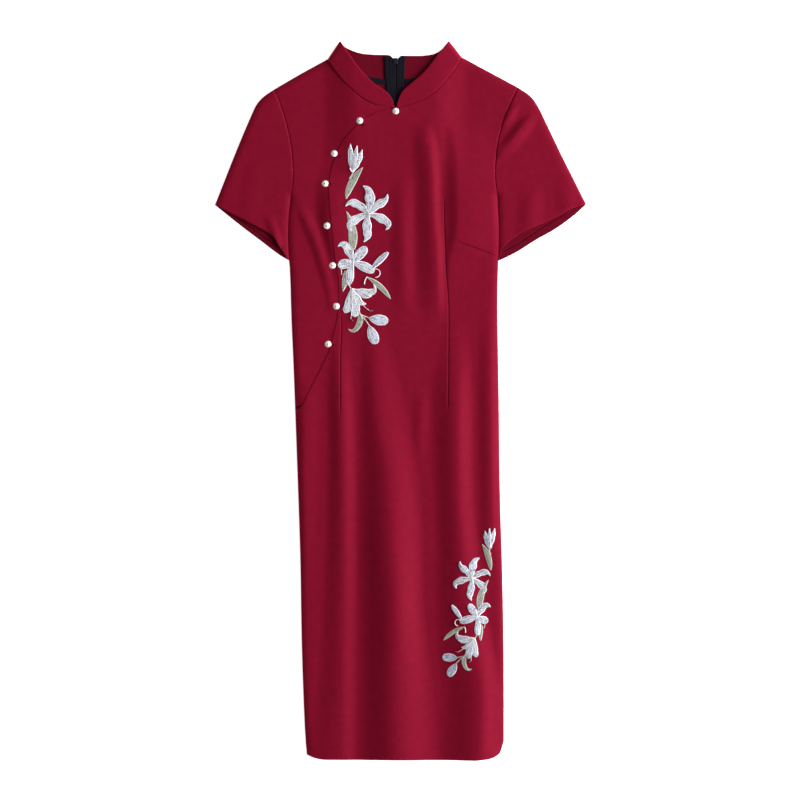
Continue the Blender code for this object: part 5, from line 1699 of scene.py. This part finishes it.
# %% Sew the hems
STITCH_SPACING = 5.0
SKIRT_HEM = [(-143, -541), (-122, -549.5), (0, -551), (116, -551), (136, -549), (147, -542)]
RIGHT_HEM = [(-284, 316), (-266, 306), (-242, 294), (-217, 281), (-198, 270), (-184, 253)]
LEFT_HEM = [(283, 317), (260, 309), (237, 297), (209, 284), (188, 275), (170, 261)]
RIGHT_HEM_INSIDE = [(-262, 290), (-244, 277), (-216, 257), (-196, 242), (-184, 234)]
LEFT_HEM_INSIDE = [(262, 294), (244.5, 285), (223.7, 272.8), (197.7, 255.5), (178, 243), (157.8, 233)]
mark_darts(sleeves["right"], [RIGHT_ARMHOLE, RIGHT_HEM_INSIDE])
mark_darts(sleeves["left"], [LEFT_ARMHOLE, LEFT_HEM_INSIDE])


def sew_hems():
    stitch = [(0, 0, -1.0), (0, 0.16, -0.7), (0, 0.2, 0.0), (0, 0.16, 0.7), (0, 0, 1.0)]
    item = tube("stitch", stitch, 0.16, 4, CREPE, taper=[0.5, 1, 1, 1, 0.5])
    lines = [on_cloth(np.column_stack([along(SKIRT_HEM, 260), np.full(260, 0.02)]))]
    cuffs = [(RIGHT_HEM, RIGHT_SLEEVE_FOLDS, RIGHT_SLEEVE), (LEFT_HEM, LEFT_SLEEVE_FOLDS, LEFT_SLEEVE)]
    for hem, folds, edges in cuffs:
        xy = along(hem, 80)
        height = rolled(xy, [edges[1], edges[2]], LEVEL + folds_height(xy, folds)) + ripple(xy)
        lines.append(np.column_stack([xy, height + 0.02]))
    values = {"Item": item, "Spacing": STITCH_SPACING * MM, "Unevenness": 0.15, "Seed": 5, "Finish": CREPE}
    made = grow("hem_stitches", paths_mesh("hem_paths", lines), REPEAT, values)
    bpy.data.objects.remove(item)
    return made


hem_stitches = sew_hems()
print("hem stitches", len(hem_stitches.data.polygons), "faces")

# %% [markdown]
# ## Give each piece its place
# Each piece rides on the dress or on the pull, and the solid that it stands for, if it has one, is hidden.
# Each piece of cloth prints its area a face beside the area that it was cut to.

CLOTH_FACTS = [
    (main_front, "front_main", (0.36, 1.14), 0.292, ["back_half_right", "back_half_left"]),
    (right_front, "front_right", (0.15, 0.57), 0.045, ["back_half_right"]),
    (back_halves["right"], "back_right", (0.21, 1.10), 0.172, []),
    (back_halves["left"], "back_left", (0.20, 1.10), 0.162, []),
    (sleeves["right"], "sleeve_right", (0.36, 0.24), 0.036, []),
    (sleeves["left"], "sleeve_left", (0.37, 0.25), 0.041, []),
    (collar_bands["right"], "collar_right", (0.20, 0.08), 0.0085, ["back_half_right"]),
    (collar_bands["left"], "collar_left", (0.20, 0.08), 0.0085, ["back_half_left"]),
    (tapes["right"], "zip_tape_right", (0.016, 0.50), 0.0058, ["back_half_right"]),
    (tapes["left"], "zip_tape_left", (0.014, 0.50), 0.0050, ["back_half_left"]),
    (bindings["right"], "neck_binding_right", (0.01, 0.08), 0.0006, ["collar_right_band"]),
    (bindings["left"], "neck_binding_left", (0.01, 0.08), 0.0006, ["collar_left_band"]),
]


def stand_for(piece, body, slot, *solids):
    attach(piece, body)
    if solids:
        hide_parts(*solids)


for piece, solid, flat, area, rests in CLOTH_FACTS:
    strip = piece.name.startswith(("tape", "binding"))
    stand_for(piece, "dress", "navy_tape" if strip else "crimson_crepe", solid)
    whole = sum(polygon.area for polygon in piece.data.polygons)
    print(f"{piece.name}: {whole / 2:.4f} square metres a face, cut {area:.4f}")

stand_for(zip_coil, "dress", "navy_coil", "zip_chain")
stand_for(slider, "dress", "navy_enamel", "zip_slider")
stand_for(pull, "pull", "navy_enamel", "zip_pull")
stand_for(hem_stitches, "dress", "crimson_crepe")
for number, (pearl, loop) in enumerate(zip(pearls, loops), 1):
    stand_for(pearl, "dress", "white_pearl", f"pearl_{number}")
    stand_for(loop, "dress", "crimson_crepe", f"loop_{number}")
for spray in sprays.values():
    stand_for(spray, "dress", None)

# %% [markdown]
# ## The room
# The dress lies on a luminous white table, as for a catalogue. One large light stands low on the right,
# so that each fold has a bright slope and a dark one. A weak warm light from the left picks out the left
# edges, and a soft one overhead keeps the troughs from going black.


# %% Light the dress
def area_light(name, at, size, power, colour):
    data = bpy.data.lights.new(name, "AREA")
    data.shape = "RECTANGLE"
    data.size, data.size_y = size
    data.energy = power
    data.color = colour
    made = bpy.data.objects.new(name, data)
    made.location = at
    made.rotation_euler = (-Vector(at)).to_track_quat("-Z", "Y").to_euler()
    bpy.context.scene.collection.objects.link(made)


area_light("key", (4.6, 0.3, 2.35), (4.0, 4.5), 690.0, (1.0, 0.97, 0.98))
area_light("warm_rim", (-4.0, -0.3, 0.7), (0.8, 2.4), 19.0, (1.0, 0.7, 0.55))
area_light("overhead", (0.3, 0.1, 3.4), (2.6, 2.6), 11.0, (1.0, 1.0, 1.0))

# %% Lay the table
TABLE_WIDE, TABLE_DROP = 12.0, 0.001  # clears the sleeves' lower layers, which dip a little
bpy.ops.mesh.primitive_plane_add(size=TABLE_WIDE, location=(0, 0, -TABLE_DROP))
floor = bpy.context.object
floor.name = "stage_floor"
white, tree, shader = new_material("white_table")
paper = blend_colour(tree, speckle(tree, 40.0), (0.9, 0.9, 0.9), (0.93, 0.93, 0.93))
finish(shader, {"Base Color": paper}, rough=0.8, glow_colour=(1, 1, 1, 1), glow=0.85)
floor.data.materials.append(white)
world = bpy.data.worlds.new("soft_room")
bpy.context.scene.world = world
world.use_nodes = True
world.node_tree.nodes["Background"].inputs["Color"].default_value = (1, 1, 1, 1)
world.node_tree.nodes["Background"].inputs["Strength"].default_value = 0.08
bpy.context.scene.view_settings.view_transform = "Standard"
